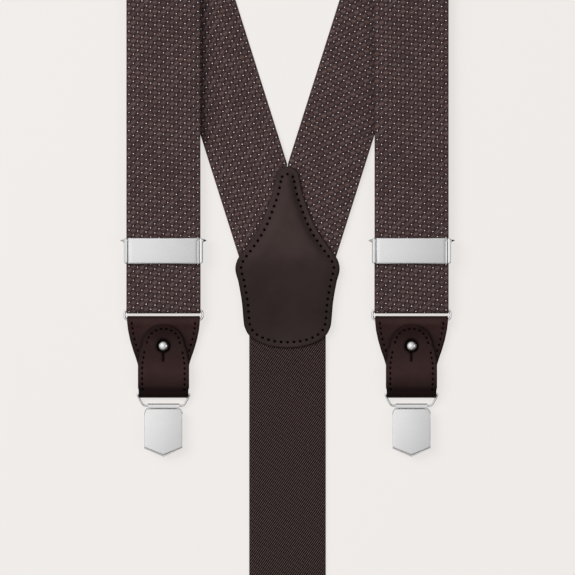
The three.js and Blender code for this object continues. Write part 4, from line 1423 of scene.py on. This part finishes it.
def build_barrel(side):
    """The sheet that the clip's back rolls round its ring's bar: a flat-topped roll with four corner arcs."""
    barrel, half_length = joint_point(f"clip_swing_{side}"), 7.5 * MM
    # each corner's centre along Y and Z and its radius, in mm, and the angle that its arc starts at
    rounds = ((0.2, 0.2, 1.0, 0), (-0.9, 0.9, 0.3, 90), (-0.7, -0.7, 0.5, 180), (0.7, -0.7, 0.5, 270))
    section = []
    for y, z, radius, start in rounds:
        section += arc(barrel.y + y * MM, barrel.z + z * MM, radius * MM, start, start + 90, 8)
    x = centre(f"clip_cover_{side}").x
    roll = merged(f"clip_barrel_{side}", [prism(section, -half_length, half_length, sideways(x))], "satin")
    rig.ride(roll, f"clip_{side}")
    stand_for(roll, "satin_metal")


def build_metal():
    for side in SIDES:
        build_rings(side)
        build_stud(side)
        softened(f"stud_rivet_{side}", f"rivet_cap_{side}", 0.06 * MM, "satin", "polished_metal")
        build_cover(side)
        build_barrel(side)
        softened(f"clip_back_{side}", f"clip_jaw_plate_{side}", 0.08 * MM, "satin", "satin_metal", 2)
        softened(f"clip_jaw_{side}", f"clip_inner_jaw_{side}", 0.08 * MM, "satin", "satin_metal", 2)
        softened(f"clip_axle_{side}", f"clip_pin_{side}", 0.1 * MM, "chrome", "polished_metal")
    for side in FRONT_SIDES:
        build_adjuster_frame(side)
        build_adjuster_lever(side)
        softened(f"adjuster_pin_{side}", f"adjuster_axle_{side}", 0.0, "chrome", "polished_metal")


# ---- stage, light, camera ------------------------------------------------------------------------
def build_stage():
    reach = 3.0
    square = [(-reach, -reach, 0), (reach, -reach, 0), (reach, reach, 0), (-reach, reach, 0)]
    floor = new_object("floor", square, [(0, 1, 2, 3)], plain_paper())
    floor.location.z = cad_low[2] - 0.05 * MM
    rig.stage(floor)


def plain_paper():
    """Backlit white paper: mostly its own light, so that shadows stay faint."""
    own_light = 0.8
    n = Look("paper")
    tone = n.mix(n.noise(n.place(), 3.0, 2), rgb(240, 236, 233), rgb(241, 237, 234))
    n.look(Base_Color=tone, Roughness=0.95, Specular_IOR_Level=0.1)
    glow = n.new("Emission", tone, 1.0)
    both = n.new("MixShader", own_light, n.shader.outputs[0], glow.outputs[0])
    n.plug(n.out.inputs[0], both.outputs[0])
    return n.material


# the sky is brightest overhead and to the left, and falls to a dark horizon that draws the metal's edges:
# (cosine of the angle from the brightest place, grey)
SKY_BRIGHTEST = (-0.38, 0.16, 0.91)
SKY_STOPS = [(0.1, 0.03), (0.55, 0.36), (0.8, 0.52), (0.865, 0.64), (0.91, 0.8), (0.95, 0.95), (1.0, 1.0)]
# a bright strip to the right lights the bends that face it
STRIP, STRIP_EDGE, STRIP_CORE = (0.68, 0.0, 0.733), 0.95, 0.985


def soft_box(name, location, width, height, watts):
    """A large lamp that faces the object and isn't mirrored in its metal."""
    data = bpy.data.lights.new(name, "AREA")
    data.shape = "RECTANGLE"
    data.size, data.size_y = width, height
    data.energy = watts
    lamp = bpy.data.objects.new(name, data)
    bpy.context.scene.collection.objects.link(lamp)
    lamp.location = location
    lamp.visible_glossy = False
    lamp.rotation_mode = "QUATERNION"
    lamp.rotation_quaternion = (-Vector(location)).to_track_quat("-Z", "Y")


def build_light():
    world = bpy.data.worlds.new("studio")
    bpy.context.scene.world = world
    world.use_nodes = True
    g = Graph(world.node_tree)
    direction = g.new("TexCoord").outputs["Generated"]
    ramp = g.new("ValToRGB", g.dot(direction, SKY_BRIGHTEST))
    stops = ramp.color_ramp.elements
    stops[0].position, stops[1].position = SKY_STOPS[0][0], SKY_STOPS[-1][0]
    for position, _ in SKY_STOPS[1:-1]:
        stops.new(position)
    for stop, (_, grey) in zip(stops, SKY_STOPS):
        stop.color = (grey, grey, grey, 1)
    strip = g.smooth(g.dot(direction, STRIP), STRIP_EDGE, STRIP_CORE)
    sky = g.new("Background", g.math("MAXIMUM", ramp.outputs[0], strip), 1.0)
    g.new("OutputWorld", sky.outputs[0])
    soft_box("key_left", (-0.9, 0.5, 1.1), 0.9, 0.9, 14)
    soft_box("fill_right", (1.1, -0.3, 1.3), 1.0, 1.0, 4)


def build_camera():
    """Straight down, as in the photograph."""
    view_width, distance, sensor = 0.272, 3.0, 36.0
    data = bpy.data.cameras.new("camera")
    data.sensor_width = sensor
    data.lens = sensor * distance / view_width
    data.clip_start, data.clip_end = 0.1, 20
    camera = bpy.data.objects.new("camera", data)
    bpy.context.scene.collection.objects.link(camera)
    camera.location = (0, -8.3 * MM, distance)
    bpy.context.scene.camera = camera


build_camera()
build_stage()
build_light()
for side in FRONT_SIDES:
    build_front_strap(side)
build_back_elastic()
build_yoke()
for side in SIDES:
    build_tab(side)
build_metal()
bpy.context.scene.view_settings.view_transform = "Standard"
with open("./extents.json", "w") as sizes:
    low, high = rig.bounds()
    json.dump({"cad": [list(cad_low), list(cad_high)], "visual": [list(low), list(high)]}, sizes)
